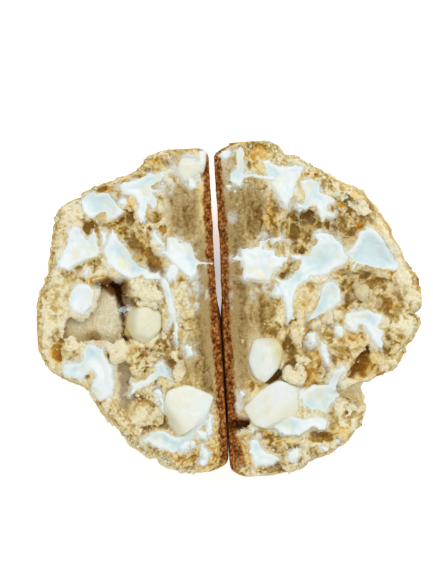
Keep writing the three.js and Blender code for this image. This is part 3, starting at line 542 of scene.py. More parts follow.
# Yellower patches of the white chocolate
yellowPlaces = [
    [-38.8, 17.2, 1.0, 2.2, -15, 0.8], [-25.0, 13.9, 1.7, 2.0, 30, 0.8], [-30.4, 27.8, 1.6, 1.0, 0, 0.7],
    [-35.2, 4.6, 1.0, 3.2, 10, 0.7], [-11.7, 29.6, 1.9, 1.2, 0, 0.8], [26.4, 20.6, 0.9, 1.4, 0, 0.8],
    [11.4, 8.2, 2.4, 1.6, 0, 0.8], [25.6, 14.6, 1.0, 3.4, 25, 0.5], [27.7, 7.1, 1.8, 1.4, 0, 0.6],
    [17.6, -42, 3, 2, 0, 0.5], [-20.6, -35.4, 2.4, 1.2, 0, 0.5],
]

seamX = (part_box("dough_left")[1].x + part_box("dough_right")[0].x) * 500 + 0.025
seamY = (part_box("dough_left")[0].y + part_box("dough_left")[1].y) * 500
seam = np.array([seamX, seamY, 0.0])
lowest, highest = np.array(cadLow), np.array(cadHigh)
farAway = 99.0  # stands for the distance to a piece that isn't near


def smoothStep(low, high, value):
    t = np.clip((value - low) / (high - low), 0, 1)
    return t * t * (3 - 2 * t)


def latticeValue(i, j, k):  # a repeatable number from -1 to 1 for each corner of a lattice
    mixed = np.sin(i * 127.1 + j * 311.7 + k * 74.7) * 43758.5453
    return 2 * (mixed - np.floor(mixed)) - 1


def noise(p):  # lattice numbers blended smoothly between the eight corners round each point
    corner = np.floor(p)
    blend = p - corner
    blend = blend * blend * (3 - 2 * blend)
    total = 0
    for step in product((0, 1), repeat=3):
        weight = np.prod(np.where(step, blend, 1 - blend), axis=-1)
        total = total + weight * latticeValue(*np.moveaxis(corner + step, -1, 0))
    return total


tilt = np.array([[0.8, 0.36, 0.48], [-0.6, 0.48, 0.64], [0.0, -0.8, 0.6]])  # turns a lattice off the axes


def roughness(p, size, octaves, seed, gain=0.5):  # noise at a size, at half of it and so on, ever weaker
    total = 0
    for octave in range(octaves):
        p = p @ tilt
        total = total + gain ** octave * noise(p * 2.0 ** octave / size + seed + 7.3 * octave)
    return total


def granules(p, size, seed):
    # Highest of the domes that stand at a random place in each of the 27 cells round a point, 0 to 1, and
    # a random tone that belongs to that dome
    q = p / size + seed
    cell = np.floor(q)
    height = np.zeros(q.shape[:-1])
    tone = np.zeros(q.shape[:-1])
    for step in product((-1, 0, 1), repeat=3):
        i, j, k = np.moveaxis(cell + step, -1, 0)
        away = 0
        for axis, start in enumerate((i, j, k)):
            centre = start + 0.5 + 0.38 * latticeValue(i + 0.31 * axis, j + 0.17, k)
            away = away + (q[..., axis] - centre) ** 2
        own = latticeValue(i, j + 0.43, k + 0.29)
        dome = np.sqrt(np.maximum(0, 1 - away / (0.72 + 0.2 * own) ** 2)) * (0.8 + 0.2 * own)
        tone = np.where(dome > height, own, tone)
        height = np.maximum(height, dome)
    return height, tone


def curveAt(points, place):  # smooth line through [place, value] points, flat beyond the ends
    at, value = np.array(points, float).T
    steps = np.arange(len(at))
    before, after = np.maximum(steps - 1, 0), np.minimum(steps + 1, len(at) - 1)
    slope = (value[after] - value[before]) / (at[after] - at[before])
    place = np.clip(place, at[0], at[-1])
    i = np.clip(np.searchsorted(at, place, side="right") - 1, 0, len(at) - 2)
    span = at[i + 1] - at[i]
    t = (place - at[i]) / span
    return (
        (1 + 2 * t) * (1 - t) ** 2 * value[i] + t * (1 - t) ** 2 * span * slope[i]
        + t * t * (3 - 2 * t) * value[i + 1] + t * t * (t - 1) * span * slope[i + 1]
    )


def faceSpan(half, y):
    # Base edge and crust of a broken face, as distances from the seam: smooth lines through the measured
    # places, less a bell-shaped bay each, closed at both tips by the root of one less the square of y
    shape = halves[half]
    low, high = shape["outline"][0][0], shape["outline"][-1][0]
    bay = sum(depth * np.exp(-(((y - place) / width) ** 2)) for place, width, depth in shape["bays"])
    flat = np.clip(y, low, high)
    near, far = curveAt(shape["seam"], flat), curveAt(shape["outline"], flat) - bay
    tip = np.where((y > flat)[..., None], shape["highTip"], shape["lowTip"])
    taper = np.sqrt(np.maximum(0, 1 - ((y - flat) / (tip[..., 1] - flat)) ** 2))
    return (
        tip[..., 0] + (near - tip[..., 0]) * taper ** tip[..., 2],
        tip[..., 0] + (far - tip[..., 0]) * taper,
    )


def ellipseDistance(x, y, middleX, middleY, halfX, halfY, turn):  # 0 at the middle, 1 on the ellipse
    c, s = math.cos(math.radians(turn)), math.sin(math.radians(turn))
    along = ((x - middleX) * c + (y - middleY) * s) / halfX
    across = ((y - middleY) * c - (x - middleX) * s) / halfY
    return np.hypot(along, across)


def reliefHeight(rows, x, y):  # each height times one less the squared distance, to the power of 1.5
    height = np.zeros(np.shape(x))
    for middleX, middleY, halfX, halfY, turn, peak in rows:
        away = ellipseDistance(x, y, middleX, middleY, halfX, halfY, turn)
        height += peak * np.maximum(0, 1 - away ** 2) ** 1.5
    return height


def patchHeight(half, x, y):  # each height inside its frayed outline, falling off over the width of its edge
    bentX, bentY = warped(x, y, 6.6, 0.9, 2.0)
    height = np.zeros(np.shape(x))
    for peak, edge, corners in patches[half]:
        height += peak * (1 - smoothStep(-edge, 0.4 * edge, distanceNear(corners, bentX, bentY)))
    return height


def zoneMask(rows, x, y, outside=1.3):  # the strongest zone at each place, full within half its size
    mask = np.zeros(np.shape(x))
    for middleX, middleY, halfX, halfY, turn, strength in rows:
        away = ellipseDistance(x, y, middleX, middleY, halfX, halfY, turn)
        mask = np.maximum(mask, strength * (1 - smoothStep(0.5, outside, away)))
    return mask


# Looks that lie in ragged islands inside their zones: seed, and how far the islands stray
islands = {"amber": [31.0, 0.24], "gold": [37.0, 0.26], "cream": [43.0, 0.4]}
islandForm = {"outside": 1.5, "size": 4.0, "gain": 0.6, "bend": 0.7, "bendSize": 1.8}


def raggedMask(half, look, x, y):  # zones whose strength only makes ragged islands likelier
    seed, fray = islands[look]
    soft = zoneMask(zones[half][look], x, y, islandForm["outside"])
    p = flatPoints(*warped(x, y, seed + 3, islandForm["bend"], islandForm["bendSize"]))
    ragged = fray * roughness(p, islandForm["size"], 4, seed, islandForm["gain"])
    return smoothStep(0.15, 0.95, soft + ragged) * smoothStep(0, 0.15, soft)


def outlineDistance(corners, x, y):  # distance to a closed outline, negative inside it
    starts = np.array(corners, float)
    nearest = np.full(np.shape(x), 1e9)
    inside = np.zeros(np.shape(x), bool)
    for (ax, ay), (bx, by) in zip(starts, np.roll(starts, -1, axis=0)):
        ex, ey = bx - ax, by - ay
        t = np.clip(((x - ax) * ex + (y - ay) * ey) / (ex * ex + ey * ey), 0, 1)
        nearest = np.minimum(nearest, np.hypot(x - ax - t * ex, y - ay - t * ey))
        if ey:
            inside ^= ((ay > y) != (by > y)) & (x < ex * (y - ay) / ey + ax)
    return np.where(inside, -nearest, nearest)


def closeTo(corners, x, y):  # places within a few millimetres of the box round the corners
    (lowX, lowY), (highX, highY) = np.min(corners, axis=0) - 4, np.max(corners, axis=0) + 4
    return (x > lowX) & (x < highX) & (y > lowY) & (y < highY)


def distanceNear(corners, x, y):  # distance to an outline, worked out only close to it
    close = closeTo(corners, x, y)
    away = np.full(np.shape(x), farAway)
    away[close] = outlineDistance(corners, x[close], y[close])
    return away


def flatPoints(x, y):
    return np.stack([x, y, np.zeros_like(x)], axis=-1)


def warped(x, y, seed, reach, size):  # the same places pushed about by noise
    p = flatPoints(x, y)
    return x + reach * roughness(p, size, 2, seed), y + reach * roughness(p, size, 2, seed + 31.7)


def halfOf(name):
    return "left" if "_left_" in name else "right"


def chipCorners(x, y, halfX, halfY, turn):  # a jagged ellipse: eleven corners at drawn angles and distances
    draw = np.random.default_rng(abs(int(97 * x + 31 * y)))
    count = 11
    angle = (np.arange(count) + 0.6 * draw.random(count)) * 2 * math.pi / count
    out = 0.6 + 0.75 * draw.random(count)
    c, s = math.cos(math.radians(turn)), math.sin(math.radians(turn))
    along, across = halfX * out * np.cos(angle), halfY * out * np.sin(angle)
    return np.stack([x + along * c - across * s, y + along * s + across * c], axis=-1).tolist()


def allSlabs():  # slabs and chips of each half, with a seed each for their fray
    slabs = {"left": {}, "right": {}}
    for index, (name, shape) in enumerate(chocolates.items()):
        slabs[halfOf(name)][name] = {
            "corners": shape["corners"], "threads": shape.get("threads", []),
            "seed": 3.1 + 5.7 * index, "sway": 1, "lift": shape.get("lift", 0),
        }
    for half, rows in chips.items():
        for index, (x, y, halfX, halfY, turn, height) in enumerate(rows):
            slabs[half][f"chip_{half}_{index}"] = {
                "corners": chipCorners(x, y, 1.25 * halfX, 1.25 * halfY, turn), "threads": [],
                "seed": 140.0 + 4.3 * index, "sway": 0.2, "lift": height,
            }
    return slabs


slabs = allSlabs()


# How the white chocolate lies: outlines frayed by noise, a rounded edge that stands up, a dished middle
chocolateForm = {
    "gridStep": 0.24,
    "fray": 0.22,
    "fraySize": 1.3,
    "spike": 0.5,
    "spikeSize": 1.3,
    "join": 1.2,  # how softly a thread runs into its slab
    "margin": 1.8,  # of the grid round the outline
    "edgeSink": 0.05,
    "edgeThickness": 0.2,
    "rise": 0.16,
    "edgeRound": 0.6,
    "dish": 0.5,
    "sway": 0.7,
    "foldSize": 5.0,
    "ripple": 0.05,
    "rippleSize": 1.6,
    "under": 1.3,
    "smearReach": 0.9,
}


def slabReach(shape):  # corners of a slab, and both ends of its threads
    starts = [[t[0], t[1]] for t in shape["threads"]]
    ends = [[t[2], t[3]] for t in shape["threads"]]
    return np.array(shape["corners"] + starts + ends, float)


def slabDistance(shape, x, y):
    # Distance to the frayed outline and its threads, negative inside: the nearer of the two, blended
    # where they meet, less spikes of noise
    form = chocolateForm
    close = closeTo(slabReach(shape), x, y)
    away = np.full(np.shape(x), farAway)
    if not close.any():
        return away
    x, y = x[close], y[close]
    bentX, bentY = warped(x, y, shape["seed"], form["fray"], form["fraySize"])
    nearest = outlineDistance(shape["corners"], bentX, bentY)
    for ax, ay, bx, by, startRadius, endRadius in shape["threads"]:
        ex, ey = bx - ax, by - ay
        t = np.clip(((bentX - ax) * ex + (bentY - ay) * ey) / (ex * ex + ey * ey), 0, 1)
        thread = np.hypot(bentX - ax - t * ex, bentY - ay - t * ey)
        thread = thread - startRadius - t * (endRadius - startRadius)
        join = np.clip(0.5 + (nearest - thread) / form["join"], 0, 1)
        nearest = nearest + (thread - nearest) * join - 0.5 * form["join"] * join * (1 - join)
    spikes = roughness(flatPoints(x, y), form["spikeSize"], 2, shape["seed"] + 9)
    away[close] = nearest - form["spike"] * smoothStep(0.15, 0.9, spikes)
    return away


def slabPlane(half, shape, x, y):  # mean plane of the face round a slab, over the undisturbed face
    middle = np.array(shape["corners"], float).mean(axis=0)
    rows, reach = relief[half], cookie["planeReach"]
    level = reliefHeight(rows, middle[0], middle[1])
    slopes = [
        (reliefHeight(rows, *(middle + step)) - reliefHeight(rows, *(middle - step))) / (2 * reach)
        for step in np.eye(2) * reach
    ]
    return level + slopes[0] * (x - middle[0]) + slopes[1] * (y - middle[1])


def nutGauge(name, p):  # below 1 inside the nut, 1 on its skin: the flat sides blended into blunt edges
    crowd = 0
    for azimuth, elevation, distance in nuts[name]["sides"]:
        a, e = math.radians(azimuth), math.radians(elevation)
        normal = np.array([math.cos(a) * math.cos(e), math.sin(a) * math.cos(e), math.sin(e)])
        crowd = crowd + np.maximum(0, p @ normal / distance) ** nuts[name]["sharpness"]
    return crowd ** (1 / nuts[name]["sharpness"])


# How crumbly the broken dough is
crumb = {
    "warp": 0.9,
    "warpSize": 4.6,
    "fold": [4.0, 0.9],  # how the lumps are pushed out of shape: size and reach
    "crease": [1.4, 0.25],
    "lump": 1.4,  # height of the torn lumps
    "plate": 0.42,  # share of that height in torn flakes on them
    "pull": 0.28,  # how stretched they are where the dough was pulled
    "pit": 0.7,  # depth of the ragged pits
    "knob": 0.26,
    "flakeKnob": 0.35,  # added to it on the torn flakes
    "grain": 0.14,
    "bead": 0.4,
    "speck": 0.3,  # on the browned edge
    "baseSpeck": 0.25,
    "tearWidth": 0.05,
    "tearDepth": 0.5,
    "wrinkle": 0.2,  # fine lines where the dough is smooth
    "wrinkleWidth": 0.07,
    "dimple": 0.12,
    "socket": 1.3,  # how far the dough goes down under chocolate and nuts
    "overhang": 0.42,  # how far tops of steep walls lean over their feet
    "overhangLimit": 0.9,
    "surroundings": [2, 7, 18],  # what counts as the surroundings of a place, in cells of the grid
    "smoothShare": 0.12,  # what is left of the crumbs where the dough is smooth
    "streak": 0.06,
}

# Noise of the dough: size, octaves, seed, and the strength that each octave keeps of the one before,
# where that isn't a half
patterns = {
    "paintedShadowEdge": [1.6, 2, 73.0],
    "fray": [1.6, 3, 12.5],
    "calm": [9.0, 2, 3.3],
    "lumps": [5.2, 4, 2.0, 0.47],
    "plates": [3.6, 4, 44.0, 0.55],
    "pulled": [3.12, 3, 9.0],
    "tufts": [3.2, 2, 61.0],
    "grains": [0.7, 2, 8.0],
    "tears": [5.5, 2, 21.0],
    "torn": [8.0, 2, 15.0],
    "streaks": [1.0, 3, 18.0],
    "wrinkles": [3.2, 3, 91.0],
    "wrinkled": [5.0, 2, 94.0],
    "dimples": [1.3, 3, 97.0],
    "tone": [5.0, 5, 51.0, 0.6],
    "creviceShadePatches": [3.0, 3, 57.0],
    "film": [1.7, 3, 25.0],
    "bits": [1.5, 3, 27.0],
    "looseOnFace": [6.0, 2, 33.0],
    "looseOnRim": [9.0, 2, 35.0],
}
grainKinds = {"knobs": [1.15, 26.0], "beads": [1.25, 6.0], "specks": [0.62, 16.0]}  # size and seed

# Tone of the dough, from 0 for dark to 1 for pale: what its relief and looks add. What the relief adds is
# painted shade in the hollows and painted light on the tops, over the deeper gold of the dough in its
# hollows
crumbTone = {
    "face": 0.5,
    # off the face the tone follows the height of lumps and beads: painted light on tops, painted shade
    # between
    "beyond": 0.58,  # off the face, where the height itself gives the tone
    "beyondLift": 0.42,
    "beyondBead": 0.15,
    # these paint light on what stands over its surroundings and shade in what lies under it, up to a limit
    "proud": 2.2,  # for standing over the surroundings, the near, the wide and the wider ones
    "broad": 0.62,
    "broader": 0.08,
    "limit": 0.34,
    "noise": 0.11,
    "raised": 0.16,
    "cream": 0.1,
    "streaks": 0.12,
    # the beads by the rim made paler: painted light over the grey of their shade, besides their own pale
    # colour
    "beaded": 0.04,
    "beads": 0.07,
    "knobs": 0.06,
    # painted shade in the crevices beside the chocolate and the nuts, and how far it reaches in millimetres
    "creviceShade": 0.22,  # beside the chocolate and the nuts
    "creviceShadeReach": 1.1,
}


def pattern(name, p):
    return roughness(p, *patterns[name])


def faceLevel(half, x, y):
    # Height of the broken face at x, y: its mean plane, less the falls at both edges, plus hollows, patches
    # and lumps, less pits. It returns the distances to the nearest chocolate and to the nearest nut too
    side = halves[half]["side"]
    near, far = faceSpan(half, y)
    inward = side * x
    spread = np.sqrt(np.maximum(0, 1 - rowShare(half, y) ** 2))
    strip = cookie["stripDrop"] * (1 - smoothStep(0, cookie["stripWidth"], inward - near))
    edge = cookie["rimDrop"] * (1 - smoothStep(0, cookie["rimRound"], far - inward))
    bentX, bentY = warped(x, y, 4.4, crumb["warp"], crumb["warpSize"])
    hollow = reliefHeight(relief[half], bentX, bentY) + patchHeight(half, x, y)
    hollow = hollow - crumb["pit"] * raggedMask(half, "amber", x, y)
    chocolateAway = np.full(x.shape, farAway)
    for name, shape in slabs[half].items():
        away = slabDistance(shape, x, y)
        if name in chocolates:
            held = 1 - smoothStep(0, 2, away)  # the dough round a slab lies in the slab's plane
            hollow = hollow + held * (slabPlane(half, shape, x, y) - hollow)
        chocolateAway = np.minimum(chocolateAway, away)
    nutAway = np.full(x.shape, farAway)
    for name, nut in nuts.items():
        if halfOf(name) == half:
            p = np.stack([x - nut["at"][0], y - nut["at"][1], np.full_like(x, nut["under"])], axis=-1)
            nutAway = np.minimum(nutAway, (nutGauge(name, p) - 1) * cookie["nutRadius"])
    p = np.stack([x / cookie["lumpSize"], y / cookie["lumpSize"], np.full_like(x, 0.5)], axis=-1)
    lumps = cookie["faceUnevenness"] * noise(p) * smoothStep(cookie["stripWidth"], 12, inward)
    lumps = lumps * smoothStep(0, cookie["rimRound"], far - inward)
    level = cookie["faceHeight"] - (strip + edge) * np.minimum(1, spread * 3) + hollow + lumps
    return level, chocolateAway, nutAway


def rowShare(half, y):  # -1 at the low tip of a half, 1 at its high tip
    low, high = halves[half]["lowTip"][1], halves[half]["highTip"][1]
    return (2 * y - low - high) / (high - low)


# Mesh steps of the two skins of a half: the crumb skin is fine on the broken face, the crust skin on the
# dome and base. Each closes behind the other, sunk under it. bayRows is how many rows to either side are
# searched for a bay of the outline
skins = {
    "crumb": {
        "rows": 424, "crowding": 0.35, "face": 180, "rim": 34, "rimAngle": 13, "dome": 6, "base": 6,
        "top": 7, "faceSink": 0, "domeSink": 1.3, "bayRows": 6,
    },
    "crust": {
        "rows": 300, "crowding": 0.4, "face": 30, "rim": 16, "rimAngle": 14, "dome": 170, "base": 70,
        "top": 8, "faceSink": 2.4, "domeSink": 0,
    },
}


def closing(y, z):  # how far the bases have come together, below the face and towards the low end
    return (1 - smoothStep(-3, 4, y)) * smoothStep(1, 7, cookie["faceHeight"] - z)


def skinGrid(half, kind):
    # Rows run along the seam, columns round the section: over the face, round the crust, up the base. The
    # crust is part of a superellipse, its width times the cosine and its depth times the sine of the angle,
    # both to the power of two over domePower. Noise moves it in and out, and the base is a straight line
    # that swells towards the other half. Returns the points, and for each the part of the section it is on
    shape, steps = halves[half], skins[kind]
    side, low, high = shape["side"], shape["lowTip"][1], shape["highTip"][1]
    row = np.linspace(-1, 1, steps["rows"] + 1)[1:-1]
    bent = steps["crowding"] * np.sin(row * math.pi / 2) + (1 - steps["crowding"]) * row
    y = ((high + low) / 2 + bent * (high - low) / 2)[:, None]
    near, far = faceSpan(half, y)
    spread = np.sqrt(np.maximum(0, 1 - bent * bent))[:, None]
    deepest = cookie["faceHeight"] - cookie["rimDepth"] * spread

    share = np.linspace(0, 1, steps["face"])[None, :]
    faceX = side * (near + (far - near) * share)
    faceY = np.broadcast_to(y, faceX.shape)
    level, chocolateAway, nutAway = faceLevel(half, faceX, faceY)
    faceZ = level - steps["faceSink"] * smoothStep(0, 0.02, share) - steps["faceSink"] * 0.5

    angle = np.radians(np.concatenate([
        np.linspace(0, steps["rimAngle"], steps["rim"] + 1)[1:],
        np.linspace(steps["rimAngle"], 90, steps["dome"] + 1)[1:],
    ]))[None, :]
    power = cookie["domePower"]
    rimLevel = level[:, -1:]
    crown = shape["crown"] * (1 - np.abs(bent) ** power) ** (1 / power)
    settled = smoothStep(0, 0.8, np.sin(angle))
    full = np.maximum(crown[:, None], far * cookie["crownShare"]) - near
    width = (far - near) + (full - (far - near)) * settled
    underCrust = smoothStep(math.radians(5), math.radians(steps["rimAngle"]), angle)
    if kind == "crumb":  # kept under the crust where the outline steps in
        reach = steps["bayRows"]
        lowest = np.minimum.reduce([np.roll(far, shift, axis=0) for shift in range(-reach, reach + 1)])
        width = width - (far - lowest) * underCrust
    domeX = near + width * np.cos(angle) ** (2 / power)
    domeZ = rimLevel + (deepest - rimLevel) * np.sin(angle) ** (2 / power)
    domeY = np.broadcast_to(y, domeX.shape)
    lump = cookie["crustLumpSize"]
    crag = cookie["crustUnevenness"] * noise(np.stack([side * domeX, domeY, domeZ], axis=-1) / lump)
    crag = crag * np.sin(2 * angle) * spread
    sink = steps["domeSink"] * underCrust
    sink = sink + steps["faceSink"] * (1 - smoothStep(math.radians(2), math.radians(9), angle))
    domeX = domeX + (crag - sink) * np.cos(angle)
    domeZ = np.maximum(0, domeZ - (crag - sink) * np.sin(angle))

    rise = np.linspace(0, 1, steps["base"] + steps["top"] + 1)[1:-1]
    if kind == "crumb":  # crowded towards the browned edge that shows
        rise = rise ** 0.3
    rise = rise[None, :]
    baseZ = np.maximum(0, deepest + (faceZ[:, :1] - deepest) * rise)
    inset = steps["domeSink"] * 0.6 * (1 - smoothStep(0.86, 0.95, rise))
    swell = (near - cookie["touching"]) * closing(y, baseZ)
    towardsTips = np.minimum(1, spread * 2)
    baseX = near - np.maximum(0, swell) * towardsTips + inset * towardsTips
    baseY = np.broadcast_to(y, baseZ.shape)

    points = np.concatenate([
        np.stack([faceX, faceY, faceZ], axis=-1),
        np.stack([side * domeX, domeY, domeZ], axis=-1),
        np.stack([side * baseX, baseY, baseZ], axis=-1),
    ], axis=1)
    return {
        "points": points, "faceCount": faceX.shape[1], "domeCount": domeX.shape[1], "spread": spread,
        "near": near, "far": far, "chocolateAway": chocolateAway, "angle": angle,
        "clearance": np.minimum(chocolateAway, nutAway),
    }


def blurred(values, cells):  # running mean along rows and columns, twice, which is close to a Gaussian
    for axis in (0, 1, 0, 1):
        pad = [(cells, cells) if a == axis else (0, 0) for a in (0, 1)]
        wide = np.cumsum(np.pad(values, pad, "edge"), axis)
        wide = np.concatenate([np.zeros_like(np.take(wide, [0], axis)), wide], axis)
        count = values.shape[axis]
        upper = np.take(wide, np.arange(count) + 2 * cells + 1, axis)
        values = (upper - np.take(wide, np.arange(count), axis)) / (2 * cells + 1)
    return values


def gridNormals(points, side):  # across the columns, which close, and along the rows, which don't
    along = np.gradient(points, axis=0)
    across = np.roll(points, -1, axis=1) - np.roll(points, 1, axis=1)
    normal = side * np.cross(across, along)
    return normal / np.maximum(np.linalg.norm(normal, axis=-1, keepdims=True), 1e-9)


def newPiece(name, points, quads, triangles, material, attributes, stoodFor):
    mesh = bpy.data.meshes.new(name)
    spots = np.clip((points.reshape(-1, 3) + seam) / 1000, lowest, highest)
    mesh.vertices.add(len(spots))
    mesh.vertices.foreach_set("co", spots.astype(np.float32).ravel())
    corners = np.concatenate([np.ravel(quads), np.ravel(triangles)]).astype(np.int32)
    quadCount, triangleCount = len(quads), len(triangles)
    starts = np.concatenate([
        np.arange(quadCount) * 4, quadCount * 4 + np.arange(triangleCount) * 3,
    ]).astype(np.int32)
    mesh.loops.add(len(corners))
    mesh.loops.foreach_set("vertex_index", corners)
    mesh.polygons.add(len(starts))
    mesh.polygons.foreach_set("loop_start", starts)
    mesh.polygons.foreach_set("use_smooth", np.ones(len(starts), bool))
    mesh.update(calc_edges=True)
    for key, values in attributes.items():
        layer = mesh.attributes.new(key, "FLOAT", "POINT")
        layer.data.foreach_set("value", np.clip(np.ravel(values), 0, 1).astype(np.float32))
    mesh.materials.append(material)
    piece = bpy.data.objects.new(name, mesh)
    bpy.context.scene.collection.objects.link(piece)
    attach(piece, "root")
    if stoodFor:
        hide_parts(*stoodFor)
    return piece


def place(tree, kind, inputs=None, **options):  # a node with its options set and its sockets fed
    node = tree.nodes.new(kind)
    for option, value in options.items():
        setattr(node, option, value)
    for socket, value in (inputs or {}).items():
        if isinstance(value, bpy.types.NodeSocket):
            tree.links.new(value, node.inputs[socket])
        else:
            node.inputs[socket].default_value = value
    return node


def colour(*screen):  # a screen colour, 0 to 255, as the linear colour that a socket takes
    return [((c / 255 + 0.055) / 1.055) ** 2.4 if c > 10 else c / 255 / 12.92 for c in screen] + [1]


def mixColour(tree, factor, first, second):
    return place(tree, "ShaderNodeMix", {0: factor, 6: first, 7: second}, data_type="RGBA").outputs[2]


def ramp(tree, factor, stops):
    node = place(tree, "ShaderNodeValToRGB", {"Fac": factor})
    elements = node.color_ramp.elements
    while len(elements) < len(stops):
        elements.new(0.5)
    for element, (position, tint) in zip(elements, stops):
        element.position = position
        element.color = tint
    return node.outputs["Color"]


def rangeOf(tree, value, low, high, toLow=0.0, toHigh=1.0):
    node = place(tree, "ShaderNodeMapRange", {0: value, 1: low, 2: high, 3: toLow, 4: toHigh})
    return node.outputs[0]


def combine(tree, operation, first, second):
    return place(tree, "ShaderNodeMath", {0: first, 1: second}, operation=operation).outputs[0]


def noiseOf(tree, where, scale, detail, roughness=0.5):
    inputs = {"Vector": where, "Scale": scale, "Detail": detail, "Roughness": roughness}
    return place(tree, "ShaderNodeTexNoise", inputs).outputs[0]


def grainGroup():  # fine grain of baked dough, put out as a height for bump
    tree = bpy.data.node_groups.new("bakedGrain", "ShaderNodeTree")
    tree.interface.new_socket("size", in_out="INPUT", socket_type="NodeSocketFloat")
    tree.interface.new_socket("height", in_out="OUTPUT", socket_type="NodeSocketFloat")
    given = tree.nodes.new("NodeGroupInput").outputs["size"]
    madeOut = tree.nodes.new("NodeGroupOutput")
    where = tree.nodes.new("ShaderNodeTexCoord").outputs["Object"]
    scaled = place(tree, "ShaderNodeVectorMath", {0: where, "Scale": given}, operation="SCALE").outputs[0]
    soft = noiseOf(tree, scaled, 1.0, 4.0)
    cells = place(tree, "ShaderNodeTexVoronoi", {"Vector": scaled, "Scale": 1.3})
    rounded = rangeOf(tree, cells.outputs["Distance"], 0.0, 0.9, 1.0, 0.0)
    height = combine(tree, "ADD", combine(tree, "MULTIPLY", rounded, 0.5), soft)
    tree.links.new(height, madeOut.inputs["height"])
    return tree


def newMaterial(name):
    material = bpy.data.materials.new(name)
    material.use_nodes = True
    tree = material.node_tree
    tree.nodes.clear()
    output = tree.nodes.new("ShaderNodeOutputMaterial")
    shader = tree.nodes.new("ShaderNodeBsdfPrincipled")
    tree.links.new(shader.outputs[0], output.inputs[0])
    return material, tree, shader


def attribute(tree, name):
    return place(tree, "ShaderNodeAttribute", attribute_name=name).outputs["Fac"]


def finishSurface(tree, shader, finish, base, gloss, height):  # what the three finishes have in common
    strength, distance = finish["bump"]
    bump = place(tree, "ShaderNodeBump", {"Strength": strength, "Distance": distance, "Height": height})
    tree.links.new(base, shader.inputs["Base Color"])
    tree.links.new(gloss, shader.inputs["Roughness"])
    tree.links.new(bump.outputs[0], shader.inputs["Normal"])
    shader.inputs["Subsurface Weight"].default_value = finish["lightDepth"]
    shader.inputs["Subsurface Radius"].default_value = finish["lightReach"]
    shader.inputs["Subsurface Scale"].default_value = 1.0


doughFinish = {
    # the darkest tints, for the lowest tones, are painted shade in the hollows over the deeper gold of the
    # dough
    "creviceShade": colour(104, 66, 8),
    "hollow": colour(162, 124, 48),
    "middle": colour(208, 177, 107),
    "raised": colour(229, 208, 150),
    "cream": colour(249, 239, 203),
    "olive": colour(134, 104, 50),
    "olivePale": colour(180, 153, 99),
    # tints of amber: golden dough of the hollows, darker still as painted shade
    "amberDeep": colour(118, 86, 24),
    "amber": colour(162, 127, 58),
    "amberPale": colour(204, 176, 112),
    "grey": colour(222, 209, 170),
    "greyPale": colour(242, 235, 206),
    "gold": colour(214, 166, 58),
    "goldPale": colour(244, 218, 152),
    "goldDeep": colour(166, 106, 20),
    "baked": colour(166, 98, 34),
    "bakedDark": colour(82, 38, 8),
    "bakedPale": colour(232, 184, 110),
    "crust": colour(240, 226, 186),
    "crustDeep": colour(206, 168, 106),
    "crustBrown": colour(206, 148, 78),
    "smear": colour(234, 244, 242),
    # colour of the shadow painted into the darkest hollows
    "paintedShadow": colour(114, 72, 10),
    "mottleScale": 330.0,
    "fineScale": 1500.0,
    "grainScale": 1300.0,
    "mottleTone": 0.08,  # how far each noise moves the tone
    "fineTone": 0.1,
    "grainValue": (0.86, 1.1),  # brightness of the darkest and of the palest grains
    "roughness": (0.78, 0.5),  # of the dough, and of its smears
    "specular": 0.2,
    "bump": (1.0, 0.0003),
    "lightDepth": 0.3,
    "lightReach": (0.0014, 0.0009, 0.0004),  # metres that red, green and blue light go into it
}

# Tints of each look of the dough, as [tone, tint]
doughTints = {
    "base": [[0.0, "creviceShade"], [0.21, "hollow"], [0.44, "middle"], [0.66, "raised"], [0.9, "cream"]],
    "cream": [[0.06, "hollow"], [0.28, "middle"], [0.5, "raised"], [0.8, "cream"]],
    "olive": [[0.05, "creviceShade"], [0.34, "olive"], [0.72, "olivePale"]],
    "amber": [[0.05, "amberDeep"], [0.4, "amber"], [0.72, "amberPale"]],
    "gold": [[0.1, "goldDeep"], [0.42, "gold"], [0.75, "goldPale"]],
    "crust": [[0.2, "crustDeep"], [0.5, "raised"], [0.75, "crust"]],
    "bake": [[0.2, "bakedDark"], [0.55, "baked"], [0.95, "bakedPale"]],
}
doughLayers = ["cream", "grey", "olive", "amber", "gold", "crust", "paintedShadow", "bake", "smear"]


